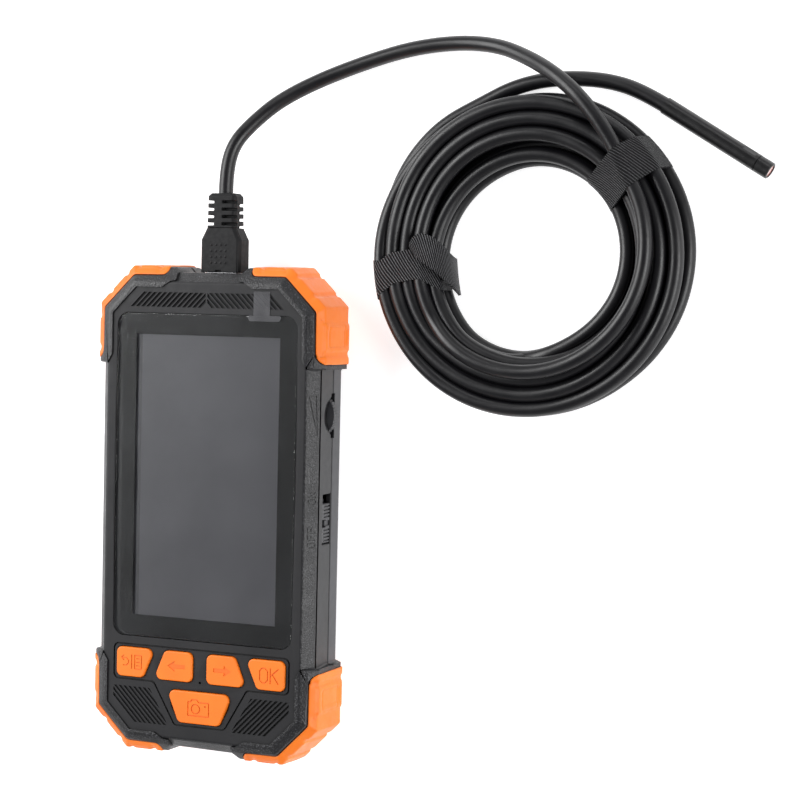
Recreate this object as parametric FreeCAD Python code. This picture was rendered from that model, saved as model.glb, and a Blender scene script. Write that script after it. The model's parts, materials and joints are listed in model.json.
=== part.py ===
import FreeCAD, Part
import os
from math import atan2, cos, degrees, pi, radians, sin, sqrt, tan
from FreeCAD import Vector

os.makedirs("parts", exist_ok=True)

# Handheld inspection camera with a coiled cable probe, lying on its back.
# Millimetres. +Z leaves the screen, +Y points to the probe socket, +X is the side with
# the thumbwheel and the power switch. The origin is under the middle of the handset.

# ---------------------------------------------------------------- driving dimensions
# Octagonal handset: half width, half length, and |x| + |y| along its corner faces.
half_width = 40.5
half_length = 80.0
corner_sum = 108.7
back_z = 0.8
rear_bevel_z = 7.3
split_z = 13.5
front_bevel_z = 23.7
front_z = 27.5
rear_bevel_in = 5.0
front_bevel_in = 3.3
wall = 2.2
gap = 0.05

# Corner guards, and the raised rims of the covers that seat them.
guard_skin = 2.0
guard_rib = 2.55
guard_lip_in = 1.0
guard_lip_z = 26.4
guard_end_y = 50.5
guard_end_x = 15.5
guard_rear_in = 8.0
pad_inner = 5.0
pad_top_z = 28.0
seat_proud = 1.9
seat_y = 49.1
seat_x = 14.0

# Screen.
screen_y = 11.6
glass_width = 67.0
glass_length = 109.2
glass_thick = 1.2
glass_radius = 4.0
active_width = 53.86
active_length = 95.04
ledge_z = 26.0
ledge_thick = 1.4

# Keys: rows of trapezoids, all standing key_proud above the front face.
key_proud = 0.8
key_travel = 0.6
key_clear = 0.3
key_flange_z = 24.0
key_flange_thick = 1.0
row_top = -47.0
row_bottom = -57.0
camera_top = -60.0
camera_bottom = -70.8
key_panel = [(-33.3, -45.7), (33.3, -45.7), (33.3, -58.2), (17.8, -58.2),
             (9.6, -72.2), (-9.6, -72.2), (-17.8, -58.2), (-33.3, -58.2)]

# Inside: board and battery levels.
board_z = 18.4
board_thick = 1.6
battery_z = 4.2

# Right side: thumbwheel and power slider.
wheel_x = 33.8
wheel_y = 33.7
wheel_radius = 8.0
wheel_thick = 2.4
wheel_shaft = 1.5
slot_half = 7.4
switch_low = -8.6
switch_high = 7.8
switch_top_z = 19.6
knob_low = -8.3
knob_high = 4.8

# Left side: port cover over the charge port and the card slot.
port_low = 6.0
port_high = 38.0
port_z = 16.4
port_height = 9.0
port_cover_thick = 1.5
port_pivot = 0.7
pivot_y = 6.9

# Probe: plug, cable and camera head.
plug_z = 15.0
plug_width = 15.0
plug_thick = 7.6
plug_bevel = 0.9
seam_radius = 0.22
plug_base_y = 80.3
plug_neck_y = 91.2
relief_y = 95.2
relief_end_y = 106.8
shell_width = 12.0
shell_thick = 4.6
shell_reach = 10.0
cable_radius = 2.45
head_radius = 2.75
sleeve_length = 34.8
barrel_length = 5.0

# Coil of cable: middle, and its section as (radius, height) points.
coil_middle = (104.6, 88.5)
coil_section = [(29.9, 1.4), (31.3, 0.0), (52.6, 0.0), (54.2, 1.6),
                (54.2, 5.4), (49.2, 14.6), (35.2, 14.6), (29.9, 5.4)]
strap_width = 13.0
strap_thick = 1.1
strap_left_angle = 190.0
strap_right_angle = 35.5

# Cable routes by hand: corner points of the stretches that aren't coiled.
lead_route = [(0.0, 106.8, 15.0), (0.0, 115.0, 15.0), (2.0, 124.0, 13.3),
              (6.8, 132.2, 10.2), (14.2, 139.4, 7.2), (26.5, 145.6, 4.4),
              (43.0, 151.0, 2.7), (61.0, 155.2, 2.5), (78.5, 156.8, 2.6),
              (93.4, 155.0, 5.0), (105.5, 150.0, 10.0), (114.2, 145.4, 14.6),
              (122.9, 139.0, 17.6), (130.0, 131.2, 18.0), (135.8, 122.6, 17.4),
              (140.0, 114.2, 17.1)]
tail_route = [(87.0, 138.6, 2.5), (96.6, 143.0, 2.5), (107.5, 145.4, 2.5),
              (119.0, 145.6, 2.5), (130.2, 143.9, 2.6), (140.3, 140.1, 2.75),
              (148.2, 135.3, 2.75)]


# ---------------------------------------------------------------- helpers
def octagon(grow, z):
    """Corners of the handset's outline, grown outwards and set at a height."""
    hx = half_width + grow
    hy = half_length + grow
    total = corner_sum + grow * sqrt(2.0)
    side = total - hx
    end = total - hy
    corners = [(hx, -side), (hx, side), (end, hy), (-end, hy),
               (-hx, side), (-hx, -side), (-end, -hy), (end, -hy)]
    return [Vector(x, y, z) for x, y in corners]


def face_of(points):
    """Flat face through the points."""
    return Part.Face(Part.makePolygon(points + [points[0]]))


def stack(levels):
    """Solid through the outline at each (grow, z) level, lowest first."""
    rings = [octagon(grow, z) for grow, z in levels]
    faces = [face_of(rings[0]), face_of(rings[-1])]
    for low, high in zip(rings, rings[1:]):
        count = len(low)
        for i in range(count):
            j = (i + 1) % count
            faces.append(face_of([low[i], low[j], high[j], high[i]]))
    solid = Part.Solid(Part.Shell(faces))
    if solid.Volume < 0:
        solid.reverse()
    return solid


def rounded_wire(points, radius, z=0.0):
    """Closed wire through flat (x, y) points with every corner rounded."""
    spots = [Vector(x, y, z) for x, y in points]
    count = len(spots)
    edges = []
    first = None
    last = None
    for i in range(count):
        here = spots[i]
        back = (spots[i - 1] - here).normalize()
        ahead = (spots[(i + 1) % count] - here).normalize()
        half = back.getAngle(ahead) / 2.0
        start = here + back * (radius / tan(half))
        end = here + ahead * (radius / tan(half))
        bisector = (back + ahead).normalize()
        middle = here + bisector * (radius / sin(half) - radius)
        if last is not None:
            edges.append(Part.LineSegment(last, start).toShape())
        else:
            first = start
        edges.append(Part.Arc(start, middle, end).toShape())
        last = end
    edges.append(Part.LineSegment(last, first).toShape())
    return Part.Wire(edges)


def rounded_prism(points, radius, z, height):
    """Prism on flat (x, y) points with rounded corners."""
    return Part.Face(rounded_wire(points, radius, z)).extrude(Vector(0, 0, height))


def prism(points, z, height):
    """Prism on flat (x, y) points with sharp corners."""
    return face_of([Vector(x, y, z) for x, y in points]).extrude(Vector(0, 0, height))


def block(x0, x1, y0, y1, z0, z1):
    """Box between two corners."""
    return Part.makeBox(x1 - x0, y1 - y0, z1 - z0, Vector(x0, y0, z0))


def rectangle(width, length, x=0.0, y=0.0):
    """Corner points of a rectangle about a centre."""
    w = width / 2.0
    h = length / 2.0
    return [(x - w, y - h), (x + w, y - h), (x + w, y + h), (x - w, y + h)]


def offset_points(points, distance):
    """Flat points moved inwards (for a counter-clockwise outline) by a distance."""
    count = len(points)
    area = sum(points[i][0] * points[(i + 1) % count][1]
               - points[(i + 1) % count][0] * points[i][1] for i in range(count))
    turn = 1.0 if area > 0 else -1.0
    moved = []
    for i in range(count):
        before = Vector(*points[i - 1], 0)
        here = Vector(*points[i], 0)
        after = Vector(*points[(i + 1) % count], 0)
        u = (here - before).normalize()
        v = (after - here).normalize()
        normal_u = Vector(-u.y, u.x, 0) * turn
        normal_v = Vector(-v.y, v.x, 0) * turn
        bisector = (normal_u + normal_v).normalize()
        reach = distance / bisector.dot(normal_u)
        spot = here + bisector * reach
        moved.append((spot.x, spot.y))
    return moved


def groove_ring(points, radius, width, z, depth):
    """Tool that cuts a groove along an outline, inside it."""
    outer = rounded_prism(points, radius, z - depth, depth + 1.0)
    inner = rounded_prism(offset_points(points, width), radius - width * 0.8,
                          z - depth - 1.0, depth + 3.0)
    return outer.cut(inner)


def stroke(start, end, width, z, depth):
    """Round-ended stroke between flat points, cut depth below z."""
    a = Vector(*start, z - depth)
    b = Vector(*end, z - depth)
    run = b - a
    side = Vector(-run.y, run.x, 0).normalize() * (width / 2.0)
    ahead = Vector(run).normalize() * (width / 2.0)
    edges = [Part.LineSegment(a + side, b + side).toShape(),
             Part.Arc(b + side, b + ahead, b - side).toShape(),
             Part.LineSegment(b - side, a - side).toShape(),
             Part.Arc(a - side, a - ahead, a + side).toShape()]
    return Part.Face(Part.Wire(edges)).extrude(Vector(0, 0, depth + 1.0))


def strokes(lines, width, z, depth):
    """One tool from several chains of points."""
    pieces = []
    for chain in lines:
        for start, end in zip(chain, chain[1:]):
            pieces.append(stroke(start, end, width, z, depth))
    tool = pieces[0]
    return tool.multiFuse(pieces[1:]) if len(pieces) > 1 else tool


def mirrored(shape, x_side, y_side):
    """Copy for another corner of the handset."""
    copy = shape.copy()
    if x_side < 0:
        copy = copy.mirror(Vector(0, 0, 0), Vector(1, 0, 0))
    if y_side < 0:
        copy = copy.mirror(Vector(0, 0, 0), Vector(0, 1, 0))
    return copy


def one_shape(shapes):
    """A shape from a list: the only one, or a compound."""
    return shapes[0] if len(shapes) == 1 else Part.makeCompound(shapes)


def save(name, *shapes):
    """Write one sub-part."""
    solids = []
    for shape in shapes:
        solids.extend(shape.removeSplitter().Solids)
    for solid in solids:
        if not solid.isValid() or solid.Volume <= 0:
            print("CHECK", name, "valid", solid.isValid(), "volume", solid.Volume)
    one_shape(solids).exportStep("parts/" + name + ".step")
    print(name, len(solids), "solid(s)", round(sum(s.Volume for s in solids), 1), "mm3")


corners = [("top_right", 1, 1), ("top_left", -1, 1),
           ("bottom_right", 1, -1), ("bottom_left", -1, -1)]


# ---------------------------------------------------------------- handset outside
def guard_plan(inset, grow=0.0):
    """Prism over one corner guard, its inner edge inset from the outline."""
    x_line = half_width - inset - grow
    y_line = half_length - inset - grow
    diagonal = corner_sum - (inset + grow) * sqrt(2.0)
    far = 60.0
    far_y = 100.0
    low = guard_end_y - grow
    left = guard_end_x - grow
    turn = 4.0
    small = 2.0
    points = [Vector(far, low, 0), Vector(far, far_y, 0), Vector(left, far_y, 0),
              Vector(left, y_line + small, 0)]
    edges = [Part.LineSegment(a, b).toShape() for a, b in zip(points, points[1:])]
    bend_a = Vector(left + small * (1 - cos(pi / 4)), y_line + small * (1 - sin(pi / 4)), 0)
    end_a = Vector(left + small, y_line, 0)
    edges.append(Part.Arc(points[-1], bend_a, end_a).toShape())
    corner_a = Vector(diagonal - y_line, y_line, 0)
    corner_b = Vector(x_line, diagonal - x_line, 0)
    start_b = Vector(x_line, low + turn, 0)
    edges.append(Part.LineSegment(end_a, corner_a).toShape())
    edges.append(Part.LineSegment(corner_a, corner_b).toShape())
    edges.append(Part.LineSegment(corner_b, start_b).toShape())
    bend_b = Vector(x_line + turn * (1 - cos(pi / 4)), low + turn * (1 - sin(pi / 4)), 0)
    end_b = Vector(x_line + turn, low, 0)
    edges.append(Part.Arc(start_b, bend_b, end_b).toShape())
    edges.append(Part.LineSegment(end_b, points[0]).toShape())
    return Part.Face(Part.Wire(edges)).extrude(Vector(0, 0, 40.0))


def body_outer():
    """Outside of both covers, without the corner rims."""
    return stack([(-rear_bevel_in, back_z), (0, rear_bevel_z), (0, front_bevel_z),
                  (-front_bevel_in, front_z)])


def corner_rims():
    """Raised pads and seats round the guards, on all four corners."""
    reach = stack([(-rear_bevel_in + 0.6, back_z), (seat_proud, rear_bevel_z),
                   (seat_proud, 23.9), (-guard_lip_in + 0.1, 26.6),
                   (-3.6, pad_top_z)])
    plan = [(seat_x - 2.2, half_length), (seat_x, half_length + 2.6), (seat_x, 95.0),
            (60.0, 95.0), (60.0, seat_y), (37.4, seat_y), (35.5, 52.2), (35.5, 58.0),
            (17.2, 58.0), (17.2, 74.9), (seat_x - 0.4, 77.2), (seat_x - 2.2, 77.4)]
    corner = reach.common(prism(plan, -1.0, 40.0)).cut(guard_plan(guard_lip_in, gap))
    rear_space = guard_plan(guard_rear_in, gap).common(block(0, 60, 0, 100, -1, rear_bevel_z))
    corner = corner.cut(rear_space)
    front_hollow = stack([(-pad_inner, front_z), (-pad_inner, pad_top_z + 1.0)])
    corner = corner.cut(front_hollow)
    flank = stack([(seat_proud + 5.0, back_z), (seat_proud + 5.0, front_z)])
    hull = body_outer()
    side = corner.common(flank).cut(hull)
    top = corner.common(stack([(0, front_bevel_z), (0, 40.0)])).cut(hull)
    return [mirrored(piece, sx, sy) for piece in (side, top) for _, sx, sy in corners]


def guard_shape():
    """Corner guard of the top right corner: skin, ribs and an inset panel."""
    def outside(grow):
        return stack([(-3.6, 0.0), (grow, 7.0), (grow, split_z), (grow - 0.4, 24.3),
                      (-guard_lip_in, guard_lip_z)])
    skin = outside(guard_skin)
    ribbed = outside(guard_rib)
    rib_slabs = [block(30, 60, guard_end_y, 53.0, -1, 40), block(30, 60, 55.2, 63.8, -1, 40),
                 block(10, 18.0, 70, 100, -1, 40), block(20.1, 26.6, 70, 100, -1, 40)]
    middle = Vector(36.3, 75.9, -1)
    for low, high in ((-9.0, -4.1), (-2.3, 4.4), (6.2, 10.2)):
        slab = Part.makeBox(24, high - low, 41, Vector(-12, low, 0))
        slab.rotate(Vector(0, 0, 0), Vector(0, 0, 1), 45)
        slab.translate(middle)
        rib_slabs.append(slab)
    ribs = [ribbed.common(slab) for slab in rib_slabs]
    shape = skin.multiFuse(ribs)
    front_plan = guard_plan(guard_lip_in)
    rear_plan = guard_plan(guard_rear_in)
    front_part = shape.common(front_plan).common(block(0, 60, 0, 100, rear_bevel_z, 40))
    rear_part = shape.common(rear_plan).common(block(0, 60, 0, 100, -1, rear_bevel_z))
    guard = front_part.fuse(rear_part).cut(body_outer())
    panel_depth = 0.3
    panel = block(42.0, 50, 56.6, 62.4, 8.6, 22.6)
    keep = stack([(guard_rib - panel_depth - 0.4, 0.0), (guard_rib - panel_depth, split_z),
                  (guard_rib - panel_depth - 0.4, 24.3)])
    guard = guard.cut(panel.cut(keep))
    return max(guard.Solids, key=lambda s: s.Volume)


# ---------------------------------------------------------------- marks and grooves
def chevron_grille():
    """Slanted grooves above the screen, meeting in the middle."""
    low = 68.4
    high = 73.3
    pitch = 1.95
    width = 0.95
    lean = high - low
    bars = []
    for i in range(14):
        foot = 2.0 + i * pitch
        bar = [(foot, low), (foot + width * 1.4, low), (foot + width * 1.4 - lean, high),
               (foot - lean, high)]
        bars.append(bar)
    clip = prism([(0.35, low), (29.6, low), (27.0, high), (0.35, high)], front_z - 0.5, 2.0)
    right = [prism(bar, front_z - 0.5, 2.0).common(clip) for bar in bars]
    tools = []
    for piece in right:
        tools.extend(piece.Solids)
        tools.extend(mirrored(piece, -1, 1).Solids)
    return tools


def diagonal_grooves():
    """Two fields of 45 degree grooves beside the camera key."""
    low = -72.4
    high = -60.4
    pitch = 1.87
    width = 1.05
    clip = prism([(-33.2, high), (-19.2, high), (-11.9, low), (-25.4, low),
                  (-33.2, low + 7.8)], front_z - 0.5, 2.0)
    tools = []
    for i in range(-3, 8):
        start = -33.0 + i * pitch
        drop = high - low
        bar = [(start, high), (start + width, high), (start + width + drop, low),
               (start + drop, low)]
        piece = prism(bar, front_z - 0.5, 2.0).common(clip)
        tools.extend(piece.Solids)
        tools.extend(mirrored(piece, -1, 1).Solids)
    return tools


def glyph_lines(letter, x, y, width, height):
    """Chains of points that draw a plain capital."""
    left = x
    right = x + width
    top = y + height
    middle = y + height * 0.52
    cut = width * 0.3
    shapes = {
        "O": [[(left, y + cut), (left, top - cut), (left + cut, top), (right - cut, top),
               (right, top - cut), (right, y + cut), (right - cut, y), (left + cut, y),
               (left, y + cut)]],
        "N": [[(left, y), (left, top), (right, y), (right, top)]],
        "F": [[(left, y), (left, top), (right, top)], [(left, middle), (right - 0.2, middle)]],
        "K": [[(left, y), (left, top)], [(right, top), (left, middle - 0.2)],
              [(left + width * 0.35, middle + 0.15), (right, y)]],
    }
    return shapes[letter]


def word(letters, x, y, width, height, space):
    """Chains of points for a short word, from its lower left corner."""
    lines = []
    for i, letter in enumerate(letters):
        lines.extend(glyph_lines(letter, x + i * (width + space), y, width, height))
    return lines


def on_right_bevel(tool, y_start, across):
    """Turn a flat mark so that it reads upwards on the right front bevel.

    The mark's baseline starts at y_start and lies at across, from the lower edge.
    """
    slope = degrees(atan2(front_z - front_bevel_z, front_bevel_in))
    copy = tool.copy()
    copy.rotate(Vector(0, 0, 0), Vector(0, 0, 1), 90)
    copy.rotate(Vector(0, 0, 0), Vector(0, 1, 0), slope)
    length = sqrt((front_z - front_bevel_z) ** 2 + front_bevel_in ** 2)
    share = across / length
    copy.translate(Vector(half_width - front_bevel_in * share, y_start,
                          front_bevel_z + (front_z - front_bevel_z) * share))
    return copy


def bevel_marks():
    """ON, OFF and a wedge for the brightness, on the right front bevel."""
    depth = 0.25
    line = 0.42
    on_mark = strokes(word("ON", 0, 0, 1.5, 2.6, 0.8), line, 0, depth)
    off_mark = strokes(word("OFF", 0, 0, 1.5, 2.6, 0.9), line, 0, depth)
    wedge = strokes([[(0, 0.2), (13.0, 0.7), (13.0, 3.3), (0, 0.2)]], 0.35, 0, depth)
    return [on_right_bevel(on_mark, 5.2, 1.0), on_right_bevel(off_mark, -9.0, 1.0),
            on_right_bevel(wedge, 27.6, 0.6)]


# ---------------------------------------------------------------- keys
def trapezoid(top_left, top_right, bottom_right, bottom_left, top, bottom):
    """Corner points of a key, counter-clockwise from the lower left."""
    return [(bottom_left, bottom), (bottom_right, bottom), (top_right, top), (top_left, top)]


key_outlines = {
    "button_menu": trapezoid(-31.7, -17.2, -21.6, -31.7, row_top, row_bottom),
    "button_left": trapezoid(-13.2, -2.7, -2.7, -17.3, row_top, row_bottom),
    "button_right": trapezoid(2.7, 13.2, 17.3, 2.7, row_top, row_bottom),
    "button_ok": trapezoid(17.2, 31.7, 31.7, 21.6, row_top, row_bottom),
    "button_camera": trapezoid(-12.2, 12.2, 7.7, -7.7, camera_top, camera_bottom),
}
key_corner = 2.0
key_top_z = front_z + key_proud


def key_mark(name):
    """Engraving on a key's top face."""
    z = key_top_z
    depth = 0.22
    line = 0.4
    if name == "button_menu":
        page = [[(-24.6, -54.2), (-24.6, -49.6), (-22.0, -49.6), (-22.0, -54.2),
                 (-24.6, -54.2)]]
        rows = [[(-23.8, y), (-22.8, y)] for y in (-50.7, -51.9, -53.1)]
        bar = [[(-25.8, -54.2), (-25.8, -49.6)]]
        hook = [[(-29.6, -50.6), (-27.8, -50.6), (-27.0, -51.4), (-27.0, -52.4),
                 (-27.8, -53.2), (-29.0, -53.2)], [(-28.8, -49.8), (-29.7, -50.6), (-28.8, -51.4)]]
        return strokes(page + rows + bar + hook, line * 0.8, z, depth)
    if name == "button_ok":
        return strokes(word("OK", 22.7, -54.5, 2.9, 4.8, 1.0), line, z, depth)
    if name == "button_camera":
        case = [[(-3.9, -68.0), (-3.9, -63.4), (-2.9, -63.4), (-2.4, -62.6), (-0.4, -62.6),
                 (0.1, -63.4), (3.9, -63.4), (3.9, -68.0), (-3.9, -68.0)]]
        tool = strokes(case, line, z, depth)
        lens = Part.makeCylinder(1.75, depth + 1.0, Vector(-1.0, -65.7, z - depth))
        lens = lens.cut(Part.makeCylinder(1.35, 3.0, Vector(-1.0, -65.7, z - 1.0)))
        dot = Part.makeCylinder(0.35, depth + 1.0, Vector(2.6, -64.6, z - depth))
        return tool.multiFuse([lens, dot])
    side = -1.0 if name == "button_left" else 1.0
    x = side * 8.6
    y = -52.0
    arrow = [(x - side * 3.2, y - 0.65), (x + side * 0.7, y - 0.65), (x + side * 0.7, y - 1.75),
             (x + side * 3.4, y), (x + side * 0.7, y + 1.75), (x + side * 0.7, y + 0.65),
             (x - side * 3.2, y + 0.65)]
    return prism(arrow, z - depth, depth + 1.0)


def key_shape(name):
    """One key: rounded top, shaft through the cover and a holding flange."""
    outline = key_outlines[name]
    shaft = rounded_prism(outline, key_corner, key_flange_z, key_top_z - key_flange_z)
    top_edges = [e for e in shaft.Edges if e.BoundBox.ZMin > key_top_z - 0.01]
    shaft = shaft.makeFillet(0.45, top_edges)
    flange = rounded_prism(offset_points(outline, -0.9), key_corner + 0.6, key_flange_z,
                           key_flange_thick)
    cx = sum(p[0] for p in outline) / 4.0
    cy = sum(p[1] for p in outline) / 4.0
    plunger = Part.makeCylinder(2.0, 0.8, Vector(cx, cy, key_flange_z - 0.8))
    return shaft.multiFuse([flange, plunger]).cut(key_mark(name))


# ---------------------------------------------------------------- covers
screw_spots = [(sx * 28.5, sy * 66.0) for sx in (1, -1) for sy in (1, -1)]
board_posts = [(sx * 30.0, y) for sx in (1, -1) for y in (-30.0, 48.0)]


def wheel_slot(z0, z1):
    """Window in the right wall for the thumbwheel."""
    return block(wheel_x - 1.0, 45.0, wheel_y - slot_half, wheel_y + slot_half, z0, z1)


def socket_window():
    """Opening in the top wall for the probe plug."""
    points = rectangle(plug_width - 1.0, plug_thick - 1.0)
    face = Part.Face(rounded_wire(points, 1.5))
    tool = face.extrude(Vector(0, 0, 12.0))
    tool.rotate(Vector(0, 0, 0), Vector(1, 0, 0), 90)
    tool.translate(Vector(0, 86.0, plug_z))
    return tool


def port_pocket():
    """Recess in the left wall for the port cover, with windows behind it."""
    x = -half_width
    pocket = block(x - 3, x + port_cover_thick, port_low, port_high,
                   port_z - port_height / 2, port_z + port_height / 2)
    charge = block(x - 3, x + 5, 13.0, 23.0, port_z - 1.9, port_z + 1.9)
    card = block(x - 3, x + 5, 25.4, 36.8, port_z - 0.9, port_z + 0.9)
    return [pocket, charge, card]


def cover_outer():
    """Both covers as one solid outside."""
    return body_outer().multiFuse(corner_rims())


def front_cover(outer):
    """Front cover with the screen frame, key windows and side openings."""
    half = outer.common(block(-60, 60, -100, 100, split_z, 40))
    inside = stack([(-wall, split_z - 1), (-wall, 22.6), (-front_bevel_in - 2.2, front_z - wall)])
    half = half.cut(inside)
    bosses = [Part.makeCylinder(3.0, front_z - wall + 0.3 - split_z, Vector(x, y, split_z))
              for x, y in screw_spots]
    frame = block(-36.0, 36.0, screen_y - 57.0, screen_y + 57.0, ledge_z - ledge_thick, front_z - 1)
    half = half.multiFuse(bosses + [frame])
    pocket = rounded_prism(rectangle(glass_width + 0.4, glass_length + 0.4, 0, screen_y),
                           glass_radius + 0.2, ledge_z, 3.0)
    window = rounded_prism(rectangle(active_width + 3.0, active_length + 3.0, 0, screen_y),
                           1.5, ledge_z - 5.0, 9.0)
    tools = [pocket, window]
    for outline in key_outlines.values():
        tools.append(rounded_prism(offset_points(outline, -key_clear), key_corner + key_clear,
                                   front_z - 5.0, 8.0))
    tools.append(groove_ring(key_panel, 2.0, 0.55, front_z, 0.45))
    tools.append(Part.makeCylinder(0.45, 8.0, Vector(0, -56.9, front_z - 5.0)))
    tools += chevron_grille() + diagonal_grooves() + bevel_marks()
    tools += [Part.makeCylinder(1.0, 9.0, Vector(x, y, split_z - 0.5)) for x, y in screw_spots]
    for side in (1, -1):
        inner = side * (half_width - 0.45)
        outer_x = side * (half_width + 1.0)
        tools.append(block(min(inner, outer_x), max(inner, outer_x), -49.0, 49.0,
                           front_bevel_z - 1.1, front_bevel_z - 0.1))
    scoop_depth = 1.8
    scoop_half = 6.6
    scoop = (scoop_half ** 2 + scoop_depth ** 2) / (2 * scoop_depth)
    tools.append(Part.makeSphere(scoop, Vector(half_width - scoop_depth + scoop, wheel_y, split_z)))
    tools.append(wheel_slot(split_z - 1, split_z + wheel_thick / 2 + 0.2))
    tools.append(block(38.0, 45, switch_low, switch_high, split_z - 1, switch_top_z))
    tools.append(socket_window())
    tools += port_pocket()
    for tool in tools:
        half = half.cut(tool)
    return max(half.Solids, key=lambda s: s.Volume)


def rear_cover(outer):
    """Rear cover with battery tray, bosses, grip grooves and a blank label recess."""
    half = outer.common(block(-60, 60, -100, 100, -5, split_z))
    inside = stack([(-rear_bevel_in - 1.6, back_z + wall), (-wall, rear_bevel_z + 0.7),
                    (-wall, split_z + 1)])
    half = half.cut(inside)
    bosses = [Part.makeCylinder(4.0, split_z - back_z - 1.0, Vector(x, y, back_z + 1.0))
              for x, y in screw_spots]
    posts = [Part.makeCylinder(2.4, board_z - gap - back_z - 1.0, Vector(x, y, back_z + 1.0))
             for x, y in board_posts]
    tray = block(-27.5, 27.5, -30.5, 50.5, back_z + 1.0, 9.0)
    tray = tray.cut(block(-26.0, 26.0, -29.0, 49.0, back_z + wall, 12.0))
    half = half.multiFuse(bosses + posts + [tray])
    tools = []
    for x, y in screw_spots:
        tools.append(Part.makeCylinder(1.4, 20.0, Vector(x, y, -1)))
        tools.append(Part.makeCylinder(2.6, 3.2, Vector(x, y, -1)))
    tools += [Part.makeCylinder(0.9, 8.0, Vector(x, y, board_z - 5.0)) for x, y in board_posts]
    tools.append(rounded_prism(rectangle(50.0, 32.0, 0, 22.0), 3.0, back_z - 1.0, 1.3))
    for i in range(7):
        y = -22.0 - i * 4.0
        tools.append(rounded_prism(rectangle(46.0, 1.8, 0, y), 0.85, back_z - 1.0, 1.7))
    tools.append(wheel_slot(split_z - wheel_thick / 2 - 0.2, split_z + 1))
    tools.append(socket_window())
    tools += port_pocket()
    for tool in tools:
        half = half.cut(tool)
    return max(half.Solids, key=lambda s: s.Volume)


# ---------------------------------------------------------------- screen stack
def screen_parts():
    """Glass, its gasket, printed mask, display panel and carrier."""
    glass = rounded_prism(rectangle(glass_width, glass_length, 0, screen_y), glass_radius,
                          ledge_z + 0.35, glass_thick)
    mask = rounded_prism(rectangle(glass_width, glass_length, 0, screen_y), glass_radius,
                         ledge_z + 0.25, 0.1)
    mask = mask.cut(block(-active_width / 2, active_width / 2, screen_y - active_length / 2,
                          screen_y + active_length / 2, ledge_z, ledge_z + 2))
    gasket = rounded_prism(rectangle(glass_width - 1, glass_length - 1, 0, screen_y),
                           glass_radius - 0.5, ledge_z, 0.25)
    gasket = gasket.cut(rounded_prism(rectangle(active_width + 4, active_length + 4, 0, screen_y),
                                      1.0, ledge_z - 1, 3))
    panel_top = ledge_z - 0.15
    polarizer = block(-24.9, active_width / 2 + 0.5, screen_y - active_length / 2 - 0.5,
                      screen_y + active_length / 2 + 0.5, panel_top - 0.35, panel_top)
    cell = block(-27.9, 27.9, screen_y - 48.7, screen_y + 48.7, panel_top - 1.45,
                 panel_top - 0.35)
    backlight = block(-30.0, 30.0, screen_y - 52.0, screen_y + 50.4, 21.6, panel_top - 1.45)
    carrier = block(-31.5, 31.5, screen_y - 53.5, screen_y + 51.2, 20.8, 24.0)
    carrier = carrier.cut(block(-30.05, 30.05, screen_y - 52.05, screen_y + 50.45, 21.55, 30))
    carrier = carrier.cut(block(-24, 24, screen_y - 45, screen_y + 46, 20, 30))
    for x, y in board_posts:
        carrier = carrier.cut(Part.makeCylinder(2.6, 20, Vector(x, y, 12)))
    return glass, mask, gasket, polarizer, cell, backlight, carrier


def film_tab():
    """Pull tab of the screen's protective film, lying over the grille."""
    z = ledge_z + 0.35 + glass_thick + 0.05
    thick = 0.15
    strip = block(17.6, 23.6, 65.6, 74.2, z, z + thick)
    points = [(15.0, 66.3), (28.2, 66.3), (27.0, 64.4), (16.2, 64.4)]
    foot = Part.Face(rounded_wire(points, 0.6, z)).extrude(Vector(0, 0, thick))
    return strip.fuse(foot)


# ---------------------------------------------------------------- inside the handset
def electronics():
    """Board, its chips, key contacts and membrane, battery and microphone."""
    board = rounded_prism(rectangle(66.0, 146.0, 0, -1.0), 3.0, board_z, board_thick)
    holes = [Part.makeCylinder(4.4, 10, Vector(x, y, board_z - 5)) for x, y in screw_spots]
    holes += [Part.makeCylinder(1.1, 10, Vector(x, y, board_z - 5)) for x, y in board_posts]
    for hole in holes:
        board = board.cut(hole)
    chips = []
    chip_layout = [(-10, 10, 16, 16, 1.2), (12, 14, 10, 12, 1.0), (-12, 36, 12, 9, 1.1),
                   (10, -12, 8, 8, 1.0), (-14, -16, 9, 6, 1.3), (4, 50, 14, 5, 1.6)]
    for x, y, w, h, t in chip_layout:
        chips.append(block(x - w / 2, x + w / 2, y - h / 2, y + h / 2, board_z - t, board_z))
    top_z = board_z + board_thick
    contacts = []
    membrane = rounded_prism(offset_points(key_panel, 0.4), 1.6, top_z + 0.5, 1.0)
    for outline in key_outlines.values():
        cx = sum(p[0] for p in outline) / 4.0
        cy = sum(p[1] for p in outline) / 4.0
        contacts.append(Part.makeCylinder(2.1, 0.35, Vector(cx, cy, top_z)))
        dome = Part.makeCone(2.6, 2.0, 1.0, Vector(cx, cy, top_z + 1.5))
        membrane = membrane.fuse(dome)
    membrane = membrane.cut(Part.makeCylinder(2.4, 10, Vector(0, -56.9, top_z - 1)))
    microphone = Part.makeCylinder(2.0, 1.6, Vector(0, -56.9, top_z))
    battery = rounded_prism(rectangle(50.0, 76.0, 0, 10.0), 2.0, battery_z, 8.6)
    return board, chips, contacts, membrane, microphone, battery


def board_screws():
    """Pan head screws that hold the board to its posts."""
    shapes = []
    for x, y in board_posts:
        head = Part.makeCylinder(1.7, 0.75, Vector(x, y, board_z + board_thick))
        shank = Part.makeCylinder(0.85, 6.0, Vector(x, y, board_z + board_thick - 6.0))
        shapes.append(head.fuse(shank))
    return shapes


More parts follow.
